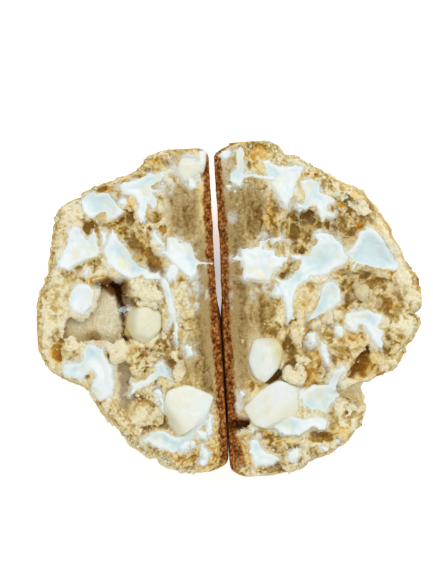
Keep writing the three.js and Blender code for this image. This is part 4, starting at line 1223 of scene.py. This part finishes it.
def doughMaterial(grain):  # the looks lie over the base one after another, as their attributes say
    finish = doughFinish
    material, tree, shader = newMaterial("bakedDough")
    where = tree.nodes.new("ShaderNodeTexCoord").outputs["Object"]
    mottled = noiseOf(tree, where, finish["mottleScale"], 5.0, 0.6)
    fine = noiseOf(tree, where, finish["fineScale"], 4.0, 0.7)
    detail = place(tree, "ShaderNodeGroup", {"size": finish["grainScale"]}, node_tree=grain)

    tone = attribute(tree, "crumb")
    for source, reach in ((mottled, finish["mottleTone"]), (fine, finish["fineTone"])):
        tone = combine(tree, "ADD", tone, rangeOf(tree, source, 0.3, 0.7, -reach, reach))
    tints = {
        look: ramp(tree, tone, [(at, finish[tint]) for at, tint in stops])
        for look, stops in doughTints.items()
    }
    tints["grey"] = mixColour(tree, rangeOf(tree, tone, 0.2, 0.8), finish["grey"], finish["greyPale"])
    tints["crust"] = mixColour(tree, attribute(tree, "brown"), tints["crust"], finish["crustBrown"])
    tints["paintedShadow"], tints["smear"] = finish["paintedShadow"], finish["smear"]
    base = tints["base"]
    for look in doughLayers:
        amount = attribute(tree, look)
        if look == "gold":  # broken up by the mottling
            amount = combine(tree, "MULTIPLY", amount, rangeOf(tree, mottled, 0.3, 0.44))
        base = mixColour(tree, amount, base, tints[look])
    value = rangeOf(tree, fine, 0.3, 0.7, *finish["grainValue"])
    grained = place(tree, "ShaderNodeHueSaturation", {"Color": base, "Value": value}).outputs[0]

    gloss = rangeOf(tree, attribute(tree, "smear"), 0.0, 1.0, *finish["roughness"])
    finishSurface(tree, shader, finish, grained, gloss, detail.outputs["height"])
    shader.inputs["Specular IOR Level"].default_value = finish["specular"]
    return material


chocolateFinish = {
    "white": colour(242, 251, 250),
    # shade painted into the valleys of the folds
    "foldShade": colour(212, 233, 234),
    "yellow": colour(242, 240, 212),
    "cloudScale": 190.0,
    "fineScale": 900.0,
    "cloudTone": 0.12,
    "roughness": (0.36, 0.54),
    "bump": (0.25, 0.0001),
    "lightDepth": 0.25,
    "lightReach": (0.0012, 0.0011, 0.001),
}


def chocolateMaterial():
    finish = chocolateFinish
    material, tree, shader = newMaterial("whiteChocolate")
    where = tree.nodes.new("ShaderNodeTexCoord").outputs["Object"]
    cloud = noiseOf(tree, where, finish["cloudScale"], 3.0)
    fine = noiseOf(tree, where, finish["fineScale"], 4.0)
    clouded = rangeOf(tree, cloud, 0.35, 0.65, -finish["cloudTone"], finish["cloudTone"])
    # painted shade in the valleys of the folds, moved about by random clouds
    coolness = combine(tree, "ADD", attribute(tree, "foldShade"), clouded)
    base = mixColour(tree, coolness, finish["white"], finish["foldShade"])
    for look in ("yellow", "edge"):
        base = mixColour(tree, attribute(tree, look), base, finish["yellow"])
    gloss = rangeOf(tree, fine, 0.3, 0.7, *finish["roughness"])
    finishSurface(tree, shader, finish, base, gloss, fine)
    return material


nutFinish = {
    "flesh": colour(242, 242, 226),
    "pale": colour(238, 246, 240),
    # yellow of the translucent flesh, also used as painted shade on one side and underneath
    "warmAndShade": colour(230, 220, 168),
    "cloudScale": 140.0,
    "fineScale": 1300.0,
    "roughness": (0.34, 0.5),
    "bump": (0.3, 0.00012),
    "lightDepth": 0.3,
    "lightReach": (0.002, 0.0017, 0.001),
}


def nutMaterial():
    finish = nutFinish
    material, tree, shader = newMaterial("macadamia")
    where = tree.nodes.new("ShaderNodeTexCoord").outputs["Object"]
    cloud = noiseOf(tree, where, finish["cloudScale"], 3.0)
    fine = noiseOf(tree, where, finish["fineScale"], 4.0)
    base = mixColour(tree, rangeOf(tree, cloud, 0.35, 0.65), finish["flesh"], finish["pale"])
    base = mixColour(tree, attribute(tree, "warmAndShade"), base, finish["warmAndShade"])
    gloss = rangeOf(tree, fine, 0.3, 0.7, *finish["roughness"])
    finishSurface(tree, shader, finish, base, gloss, fine)
    return material


dough = doughMaterial(grainGroup())
whiteChocolate = chocolateMaterial()
macadamia = nutMaterial()
print("materials ready")


def skinQuads(rows, columns, side):  # quads of a grid whose columns close, and fans at both poles
    here = np.arange(rows * columns).reshape(rows, columns)
    nextColumn = np.roll(here, -1, axis=1)
    quads = np.stack([here[:-1], nextColumn[:-1], nextColumn[1:], here[1:]], axis=-1).reshape(-1, 4)
    lowPole, highPole = rows * columns, rows * columns + 1
    low = np.stack([np.full(columns, lowPole), nextColumn[0], here[0]], axis=-1)
    high = np.stack([np.full(columns, highPole), here[-1], nextColumn[-1]], axis=-1)
    triangles = np.concatenate([low, high])
    if side < 0:
        quads, triangles = quads[:, ::-1], triangles[:, ::-1]
    return quads, triangles


def buildSkin(half, kind):
    # Each point of the grid is moved along its normal by lumps, flakes, knobs, grains and beads added up,
    # less tears and wrinkles. Then tops of steep walls lean over. The tone is paler the more a place stands
    # over its surroundings: painted light on the tops and painted shade in the hollows
    shape, shades = halves[half], crumbTone
    side = shape["side"]
    grid = skinGrid(half, kind)
    points, faceCount, domeCount = grid["points"], grid["faceCount"], grid["domeCount"]
    rows, columns = points.shape[:2]
    normals = gridNormals(points, side)
    x, y, z = np.moveaxis(points, -1, 0)
    column = np.arange(columns)[None, :]
    onFace = np.broadcast_to(column < faceCount, (rows, columns))
    onBase = np.broadcast_to(column >= faceCount + domeCount, (rows, columns))
    onDome = ~onFace & ~onBase
    fromSeam = side * x - grid["near"]
    fromRim = np.where(onFace, grid["far"] - side * x, 0)
    dome = domeShare(grid, rows)

    def padded(values, beyond):  # a face value carried over the whole section
        full = np.full((rows, columns), float(beyond))
        full[:, :faceCount] = values
        return full

    chocolateAway, clear = padded(grid["chocolateAway"], farAway), padded(grid["clearance"], farAway)
    bentX, bentY = warped(x, y, 9.2, 0.9, 3.0)
    masks = {key: zoneMask(rowsOf, bentX, bentY) * onFace for key, rowsOf in zones[half].items()}
    # painted shadow of the darkest hollows, with a ragged edge
    paintedShadowEdge = 0.2 * pattern("paintedShadowEdge", points) * (masks["paintedShadow"] > 0)
    dark = smoothStep(0.1, 0.5, masks["paintedShadow"] + paintedShadowEdge)
    for key in islands:
        masks[key] = raggedMask(half, key, x, y) * onFace

    # browned edge of the base and the base itself, with a frayed border
    fray = pattern("fray", points)
    strip = 1 - smoothStep(0.5, 0.95, fromSeam / cookie["stripWidth"] + 0.16 * fray)
    bake = np.where(onFace, strip, np.where(onBase, 1.0, 0.0))
    bake = bake * np.minimum(1, grid["spread"] * 4)
    lowDome = np.where(onDome, smoothStep(0.62, 1.02, dome), 0)
    bake = np.maximum(bake, 0.8 * lowDome)
    crust = np.where(onDome, 1.0, np.where(onFace, 1 - smoothStep(0.3, 1.5, fromRim + 0.5 * fray), 0.0))
    crust = crust * (1 - np.where(onFace, strip, 0))
    brown = np.where(onDome, 0.8 * smoothStep(0.3, 0.9, dome), 0)

    # how rough each place is: less where smooth, in calm stretches, beside the pieces and by the seam
    smooth = np.maximum(masks["smooth"], 0.7 * strip * onFace)
    rough = crumb["smoothShare"] + (1 - crumb["smoothShare"]) * (1 - smooth)
    rough = rough * (0.6 + 0.4 * smoothStep(-0.4, 0.5, pattern("calm", points)))
    rough = rough * (0.15 + 0.85 * smoothStep(-0.1, 1.3, clear))
    rough = rough * (0.2 + 0.8 * smoothStep(0.3, 3.4, fromSeam))

    # lumps and flakes
    bent = points
    for size, reach in (crumb["fold"], crumb["crease"]):
        bent = bent + reach * np.stack([roughness(points, size, 2, s) for s in (1.1, 5.2, 8.3)], axis=-1)
    lumps = pattern("lumps", bent)
    plates = smoothStep(-0.16, 0.16, pattern("plates", bent)) - 0.5
    lumps = lumps + crumb["plate"] * plates
    pulled = pattern("pulled", bent * [1, crumb["pull"], 1])
    lumps = lumps + masks["pulled"] * (0.5 * pulled - lumps)

    # knobs, grains and beads
    knobs, knobTone = granules(bent * 0.5 + points * 0.5, *grainKinds["knobs"])
    raised = smoothStep(0.2, 0.6, patchHeight(half, x, y)) * onFace
    tufts = np.maximum(smoothStep(0.1, 0.5, pattern("tufts", points)), raised)
    masks["cream"] = np.maximum(masks["cream"], raised)
    tufts = np.maximum(tufts, masks["cream"])
    grains = crumb["grain"] * pattern("grains", points)
    beads, beadTone = granules(bent * 0.4 + points * 0.6, *grainKinds["beads"])
    nearRim = np.where(onFace, 1 - smoothStep(1.6, 4.4, fromRim + 1.6 * fray), 0)
    nearRim = np.where(onDome, 1 - smoothStep(0.05, 0.3, dome), nearRim)
    beaded = np.maximum(masks["beads"] * (1 - smooth), shape["rimBeads"] * nearRim)
    specks, speckTone = granules(points, *grainKinds["specks"])

    # tears, streaks and wrinkles
    tear = np.exp(-((pattern("tears", bent) / crumb["tearWidth"]) ** 2))
    tear = tear * smoothStep(-0.1, 0.35, pattern("torn", points))
    tear = tear * crumb["tearDepth"] * smoothStep(0.4, 1.4, clear)
    streaks = pattern("streaks", points * [1, 0.2, 0.1])
    wrinkle = np.exp(-((pattern("wrinkles", bent) / crumb["wrinkleWidth"]) ** 2))
    wrinkle = wrinkle * smoothStep(-0.2, 0.3, pattern("wrinkled", points))

    knobby = (0.1 + 0.9 * tufts) * crumb["knob"] * (knobs - 0.55)
    lift = crumb["lump"] * lumps * (1 - 0.5 * beaded) + knobby + grains - tear * (onFace | onDome)
    lift = rough * lift
    lift = lift + beaded * crumb["bead"] * (beads - 0.6) + crumb["streak"] * streaks * masks["pulled"]
    lift = lift + crumb["speck"] * strip * (specks - 0.7)
    lift = lift - crumb["wrinkle"] * wrinkle * masks["smooth"]
    lift = lift + crumb["dimple"] * masks["smooth"] * pattern("dimples", points)
    lift = lift - crumb["socket"] * smoothStep(0.1, 0.9, -clear)
    lift = lift + crumb["flakeKnob"] * raised * (knobs - 0.55)
    lift = np.where(onBase, crumb["baseSpeck"] * (specks - 0.9) * (1 - closing(y, z)), lift)
    lift = lift * np.minimum(1, grid["spread"] * 4)
    points = points + normals * lift[..., None]
    points[..., 2] = np.maximum(points[..., 2], 0)

    # how far each place of the face stands over its surroundings: steep walls lean over, hollows get painted
    # shade
    heights = points[:, :faceCount, 2]
    close, wide, wider = [blurred(heights, cells) for cells in crumb["surroundings"]]
    proud, broad, broader = [padded(v, 0) for v in (heights - close, close - wide, wide - wider)]
    if kind == "crumb":
        downRow, downColumn = np.gradient(close)
        stepRow = np.gradient(points[:, :faceCount, 1], axis=0)
        stepColumn = np.gradient(points[:, :faceCount, 0], axis=1)
        slopeY = np.clip(downRow / np.maximum(np.abs(stepRow), 0.1), -2, 2)
        slopeX = np.clip(side * downColumn / np.maximum(np.abs(stepColumn), 0.1), -2, 2)
        lean = crumb["overhang"] * (heights - wide) * smoothStep(0.5, 2.5, fromRim[:, :faceCount])
        lean = lean * smoothStep(3, 5, fromSeam[:, :faceCount]) * smoothStep(0.2, 1, grid["clearance"])
        limit = crumb["overhangLimit"]
        points[:, :faceCount, 0] -= np.clip(lean * slopeX, -limit, limit)
        points[:, :faceCount, 1] -= np.clip(lean * slopeY, -limit, limit)

    # tones, with painted light on what stands out and painted shade in hollows, beside the pieces and off
    # the face
    tone = shades["beyond"] + shades["beyondBead"] * (beads - 0.6)
    tone = tone + shades["beyondLift"] * np.clip(lift, -0.7, 0.6)
    shade = shades["proud"] * proud + shades["broad"] * broad
    shade = shade + shades["broader"] * np.clip(broader, -1.4, 1)
    shade = shades["limit"] * np.tanh(shade / shades["limit"])
    tone = np.where(onFace, shades["face"] + shade, tone)
    tone = tone + shades["beads"] * beadTone * beaded + shades["knobs"] * knobTone * tufts * (1 - smooth)
    tone = tone + shades["noise"] * pattern("tone", points) * (1 - 0.3 * smooth)
    tone = tone + shades["raised"] * raised + shades["cream"] * masks["cream"]
    tone = tone + shades["streaks"] * streaks * np.maximum(masks["pulled"], 0.7 * masks["olive"])
    # the beads by the rim made paler: painted light over the grey of their shade, besides their own pale
    # colour
    tone = tone + shades["beaded"] * beaded
    # painted shade in ragged patches beside the chocolate and the nuts
    beside = np.exp(-np.maximum(0, clear) / shades["creviceShadeReach"]) * (1 - strip) * onFace
    shadedCrevices = smoothStep(-0.1, 0.35, pattern("creviceShadePatches", points))
    tone = tone - shades["creviceShade"] * beside * shadedCrevices * (1 - smooth)

    # smears of chocolate, gold and browning
    halo = np.exp(-np.maximum(0, chocolateAway) / chocolateForm["smearReach"])
    patchy = smoothStep(-0.7, 0.05, pattern("film", points * [1, 0.6, 1]))
    bits = smoothStep(-0.1, 0.35, pattern("bits", points))
    smear = np.maximum(masks["smear"] * patchy, 0.7 * halo * bits) * (1 - strip) * onFace
    smear = smear * (1 - masks["baked"])
    gold = masks["gold"] * (1 - smear)
    ending = np.abs(y - np.clip(y, shape["outline"][0][0], shape["outline"][-1][0]))
    bake = bake * (1 - 0.8 * smoothStep(0.2, 2.4, ending) * onFace)
    bake = np.maximum(bake, 0.9 * masks["baked"])
    tone = np.where(onBase, shades["face"], tone)
    tone = tone + bake * (0.16 + 0.5 * specks + 0.16 * speckTone - tone)

    attributes = {
        "crumb": tone, "gold": gold, "smear": smear, "bake": bake, "crust": crust, "brown": brown,
        "paintedShadow": np.clip(1.25 * masks["paintedShadow"] * dark, 0, 1),
    }
    for key in ("olive", "amber", "grey", "cream"):
        attributes[key] = masks[key]
    attributes = {
        key: np.append(np.ravel(values), [0.5, 0.5] if key == "crumb" else [0, 0])
        for key, values in attributes.items()
    }
    poleHeight = cookie["faceHeight"] - cookie["rimDrop"]
    poles = [[side * shape[tip][0], shape[tip][1], poleHeight] for tip in ("lowTip", "highTip")]
    quads, triangles = skinQuads(rows, columns, side)
    newPiece(
        f"{kind}_{half}", np.concatenate([points.reshape(-1, 3), poles]), quads, triangles, dough,
        attributes, [f"dough_{half}"],
    )
    print(f"{kind} skin of the {half} half:", 2 * len(quads) + len(triangles), "triangles")
    return {
        "points": points, "normals": normals, "fromRim": fromRim, "fromSeam": fromSeam,
        "smooth": masks["smooth"], "clear": clear, "onFace": onFace,
    }


def domeShare(grid, rows):  # 0 at the rim of the face, 1 where the crust meets the base
    share = np.zeros((rows, grid["points"].shape[1]))
    angle = grid["angle"] / (math.pi / 2)
    share[:, grid["faceCount"]:grid["faceCount"] + grid["domeCount"]] = angle
    return share


surfaces = {(half, kind): buildSkin(half, kind) for half in halves for kind in skins}


def slabMesh(half, shape):
    # A height over a square grid, kept inside the frayed outline: the face, plus a lip that rises within
    # the round of the edge, less a dish in the middle, plus folds and ripples. The outermost points are
    # moved onto the outline, where the upper and the lower side share them
    form = chocolateForm
    reach = slabReach(shape)
    low, high = reach.min(axis=0) - form["margin"], reach.max(axis=0) + form["margin"]
    lines = [np.arange(low[axis], high[axis], form["gridStep"]) for axis in (0, 1)]
    x, y = np.meshgrid(*lines, indexing="ij")
    away = slabDistance(shape, x, y)
    slopeX, slopeY = np.gradient(away, form["gridStep"])
    steep = np.maximum(np.hypot(slopeX, slopeY), 0.4) ** 2
    cell = np.minimum.reduce([away[:-1, :-1], away[1:, :-1], away[1:, 1:], away[:-1, 1:]]) < 0
    used = np.zeros(away.shape, bool)
    for dx, dy in product((0, 1), repeat=2):
        used[dx:dx + cell.shape[0], dy:dy + cell.shape[1]] |= cell
    border = used & (away >= 0)
    x = np.where(border, x - away * slopeX / steep, x)
    y = np.where(border, y - away * slopeY / steep, y)
    inner = np.where(border, 0, -away)
    level = faceLevel(half, x, y)[0]
    p = flatPoints(x, y)
    seed, sway = shape["seed"] + 8, shape["sway"]
    edge = np.clip(inner / form["edgeRound"], 0, 1)
    fold = sway * roughness(p, form["foldSize"], 1, seed)
    ripple = roughness(p, form["rippleSize"], 2, seed + 3)
    lip = form["rise"] + form["edgeSink"] + 0.5 * shape["lift"]
    top = level - form["edgeSink"] + lip * smoothStep(0, 1, edge)
    top = top - form["dish"] * sway * smoothStep(0.8, 3.4, inner)
    top = top + (form["sway"] * fold + form["ripple"] * ripple) * edge
    # painted shade: bluer in the valleys of the folds, away from the edge
    foldShade = smoothStep(0.3, -0.6, fold + 0.3 * ripple) * smoothStep(0, 1.2, inner) * sway
    bottom = level - form["edgeThickness"] - form["under"] * edge
    index = np.cumsum(used).reshape(used.shape) - 1
    inside = used & ~border
    lower = index.copy()
    lower[inside] = used.sum() + np.cumsum(inside)[inside.ravel()] - 1
    corners = [(0, 0), (1, 0), (1, 1), (0, 1)]
    upperQuads, lowerQuads = [
        np.stack([at[a:a + cell.shape[0], b:b + cell.shape[1]][cell] for a, b in order], axis=-1)
        for at, order in ((index, corners), (lower, corners[::-1]))
    ]
    points = np.concatenate([
        np.stack([x, y, top], axis=-1)[used], np.stack([x, y, bottom], axis=-1)[inside],
    ])
    yellow = zoneMask(yellowPlaces, *warped(x, y, seed, 0.8, 2.4)) * edge
    yellow = np.maximum(yellow, 0.5 * smoothStep(0.2, 0.7, roughness(p, 3.0, 2, seed + 6)) * sway) * edge
    rim = 0.3 * (1 - smoothStep(0, 0.45, inner))
    values = {"yellow": yellow, "edge": rim, "foldShade": foldShade}
    attributes = {key: np.concatenate([value[used], value[inside]]) for key, value in values.items()}
    return points, np.concatenate([upperQuads, lowerQuads]), attributes


def buildChocolate(name):
    points, quads, attributes = slabMesh(halfOf(name), slabs[halfOf(name)][name])
    newPiece(
        name.replace("chocolate", "white"), points, quads, np.zeros((0, 3), int), whiteChocolate, attributes,
        [name],
    )


def buildChips(half):  # all the chips of a half in one piece
    meshes = [slabMesh(half, shape) for name, shape in slabs[half].items() if name not in chocolates]
    counts = np.cumsum([0] + [len(points) for points, quads, attributes in meshes])
    newPiece(
        f"chips_{half}", np.concatenate([mesh[0] for mesh in meshes]),
        np.concatenate([mesh[1] + start for mesh, start in zip(meshes, counts)]), np.zeros((0, 3), int),
        whiteChocolate, {key: np.concatenate([mesh[2][key] for mesh in meshes]) for key in meshes[0][2]},
        [],
    )


for chocolateName in chocolates:
    buildChocolate(chocolateName)
for halfName in halves:
    buildChips(halfName)
print("white chocolate:", len(chocolates), "pieces and the chips")


# Macadamia: steps of the mesh, and heights of its pits and of its slow waves
nutForm = {"rows": 80, "columns": 150, "pitting": 0.05, "sway": 0.16}


def directionGrid(rows, columns):  # directions over a sphere, without its poles
    polar = (np.arange(1, rows) * math.pi / rows)[:, None]
    turn = (np.arange(columns) * 2 * math.pi / columns)[None, :]
    return np.stack([
        np.sin(polar) * np.cos(turn), np.sin(polar) * np.sin(turn), np.cos(polar) * np.ones_like(turn),
    ], axis=-1)


def buildNut(name):
    # In every direction the distance at which the gauge of the flat sides is 1, plus waves and pits of noise
    nut, half = nuts[name], halfOf(name)
    direction = directionGrid(nutForm["rows"], nutForm["columns"])
    direction = np.concatenate([direction.reshape(-1, 3), [[0, 0, 1], [0, 0, -1]]])
    seed = 40.0 + 9.1 * list(nuts).index(name)
    reach = 1 / nutGauge(name, direction)
    reach = reach + nutForm["sway"] * roughness(direction * 5, 4.0, 2, seed)
    reach = reach + nutForm["pitting"] * roughness(direction * 6, 0.9, 2, seed + 2)
    level = cookie["faceHeight"] - nut["under"] + reliefHeight(relief[half], *nut["at"])
    points = direction * reach[:, None] + [nut["at"][0], nut["at"][1], level]
    # yellower by its own tint and random patches; on one side and low down, translucent flesh and painted
    # shade
    warmAndShade = nut.get("warmth", 0) + 0.35 * smoothStep(0.1, 0.7, roughness(direction * 3, 2.0, 2, seed + 4))
    turn, strength = math.radians(nut["warmShadedSide"][0]), nut["warmShadedSide"][1]
    sideways = direction @ np.array([math.cos(turn), math.sin(turn), -0.1])
    warmAndShade = warmAndShade + strength * smoothStep(0.05, 0.9, sideways)
    warmAndShade = warmAndShade + 0.3 * smoothStep(0.6, 0.95, 1 - direction[:, 2])
    rows, columns = nutForm["rows"] - 1, nutForm["columns"]
    quads, triangles = skinQuads(rows, columns, -1)
    newPiece(
        name.replace("nut", "macadamia"), points, quads, triangles, macadamia, {"warmAndShade": warmAndShade},
        [name],
    )


for nutName in nuts:
    buildNut(nutName)
print("macadamia:", len(nuts), "pieces")


# Loose crumbs that cling to the broken faces and the rim
looseCrumbs = {
    "rows": 6, "columns": 8,
    "faceCount": 80, "faceSize": [0.2, 0.6],
    "rimCount": 160, "rimSize": [0.25, 0.6],
    "seeds": {"left": 71, "right": 72},
}


def buildCrumbs(half):
    # A small ball for each, at a drawn place on the rough dough: stretched, made lumpy by noise and turned
    draw = np.random.default_rng(looseCrumbs["seeds"][half])
    skin = surfaces[half, "crumb"]
    points, normals = skin["points"], skin["normals"]
    onFace, clear, smooth = skin["onFace"], skin["clear"], skin["smooth"]
    faceWeight = onFace * (clear > 0.4) * (1 - smooth) * (skin["fromSeam"] > 3)
    faceWeight = faceWeight * smoothStep(-0.2, 0.6, pattern("looseOnFace", points)) ** 2
    rimWeight = onFace * (clear > 0.3) * (skin["fromRim"] < 2.2) * (skin["fromSeam"] > 4) * 1.0
    rimWeight = rimWeight * (0.25 + smoothStep(-0.2, 0.4, pattern("looseOnRim", points)))
    parts = []
    for weight, count, sizes in (
        (faceWeight, looseCrumbs["faceCount"], looseCrumbs["faceSize"]),
        (rimWeight, looseCrumbs["rimCount"], looseCrumbs["rimSize"]),
    ):
        flat = weight.ravel() / weight.sum()
        chosen = draw.choice(flat.size, count, replace=False, p=flat)
        size = sizes[0] + (sizes[1] - sizes[0]) * draw.random(count) ** 2
        parts.append((points.reshape(-1, 3)[chosen], normals.reshape(-1, 3)[chosen], size))
    centre, lift, size = [np.concatenate(part) for part in zip(*parts)]
    centre = centre + lift * size[:, None] * 0.1
    turns = np.linalg.qr(draw.normal(size=(len(size), 3, 3)))[0]
    direction = directionGrid(looseCrumbs["rows"], looseCrumbs["columns"]).reshape(-1, 3)
    direction = np.concatenate([direction, [[0, 0, 1], [0, 0, -1]]])
    stretch = 0.7 + 0.6 * draw.random((len(size), 1, 3))
    body = direction[None] * stretch
    lumpy = 1 + 0.55 * roughness(body * 1.6 + centre[:, None] * 3, 1.0, 2, 3.0)
    body = np.einsum("kmi,kij->kmj", body * lumpy[..., None], turns) * size[:, None, None]
    body = body + centre[:, None]
    rows, columns = looseCrumbs["rows"] - 1, looseCrumbs["columns"]
    quads, triangles = skinQuads(rows, columns, -1)
    step = (np.arange(len(size)) * len(direction))[:, None, None]
    mirrored = np.linalg.det(turns) < 0
    quads = np.where(mirrored[:, None, None], quads[None, :, ::-1], quads[None]) + step
    triangles = np.where(mirrored[:, None, None], triangles[None, :, ::-1], triangles[None]) + step
    tone = np.repeat(0.55 + 0.35 * draw.random(len(size)), len(direction))
    cream = np.repeat(draw.random(len(size)) < 0.5, len(direction)) * 0.8
    newPiece(
        f"crumbs_{half}", body.reshape(-1, 3), quads.reshape(-1, 4), triangles.reshape(-1, 3), dough,
        {"crumb": tone, "cream": cream}, [],
    )
    print(f"loose crumbs of the {half} half:", len(size))


for halfName in halves:
    buildCrumbs(halfName)


# Floor, light and camera
studio = {
    "floorSize": 3.0,
    "floor": colour(250, 250, 250),
    "floorGlow": 0.5,
    "skyStrength": 0.54,
    "aim": (0, 0, 0.04),
    "lamps": {
        "key": {"place": (0.34, 0.46, 1.0), "size": 0.8, "power": 5.6},
        "fill": {"place": (-0.5, -0.3, 0.9), "size": 0.9, "power": 1.2},
    },
}


def buildStage():
    size = studio["floorSize"] / 2
    mesh = bpy.data.meshes.new("floor")
    corners = [(-size, -size, 0), (size, -size, 0), (size, size, 0), (-size, size, 0)]
    mesh.from_pydata(corners, [], [(0, 1, 2, 3)])
    floor = bpy.data.objects.new("floor", mesh)
    bpy.context.scene.collection.objects.link(floor)
    material, tree, shader = newMaterial("paleFloor")
    shader.inputs["Base Color"].default_value = studio["floor"]
    shader.inputs["Roughness"].default_value = 0.9
    shader.inputs["Emission Color"].default_value = (1, 1, 1, 1)
    shader.inputs["Emission Strength"].default_value = studio["floorGlow"]
    mesh.materials.append(material)
    for name, settings in studio["lamps"].items():
        light = bpy.data.lights.new(name, "AREA")
        light.size = settings["size"]
        light.energy = settings["power"]
        lamp = bpy.data.objects.new(name, light)
        bpy.context.scene.collection.objects.link(lamp)
        lamp.location = settings["place"]
        aim = Vector(studio["aim"]) - Vector(settings["place"])
        lamp.rotation_euler = aim.to_track_quat("-Z", "Y").to_euler()
    world = bpy.data.worlds.new("studio")
    world.use_nodes = True
    background = world.node_tree.nodes["Background"]
    background.inputs["Color"].default_value = (1, 1, 1, 1)
    background.inputs["Strength"].default_value = studio["skyStrength"]
    bpy.context.scene.world = world
    bpy.context.scene.view_settings.view_transform = "Standard"


# The photograph looks straight down on the broken faces, turned a little
view = {"height": 450.0, "axis": (-0.77, 5.64), "turn": 3.3, "frameLong": 157.2}


def buildCamera():
    data = bpy.data.cameras.new("camera")
    data.sensor_width = 36
    data.lens = 36 * view["height"] / view["frameLong"]
    data.clip_start, data.clip_end = 0.01, 10
    camera = bpy.data.objects.new("camera", data)
    bpy.context.scene.collection.objects.link(camera)
    x, y = view["axis"][0] + seamX, view["axis"][1] + seamY
    camera.location = (x / 1000, y / 1000, (view["height"] + cookie["faceHeight"]) / 1000)
    camera.rotation_euler = (0, 0, -math.radians(view["turn"]))
    bpy.context.scene.camera = camera


buildStage()
buildCamera()
print("stage and camera ready")
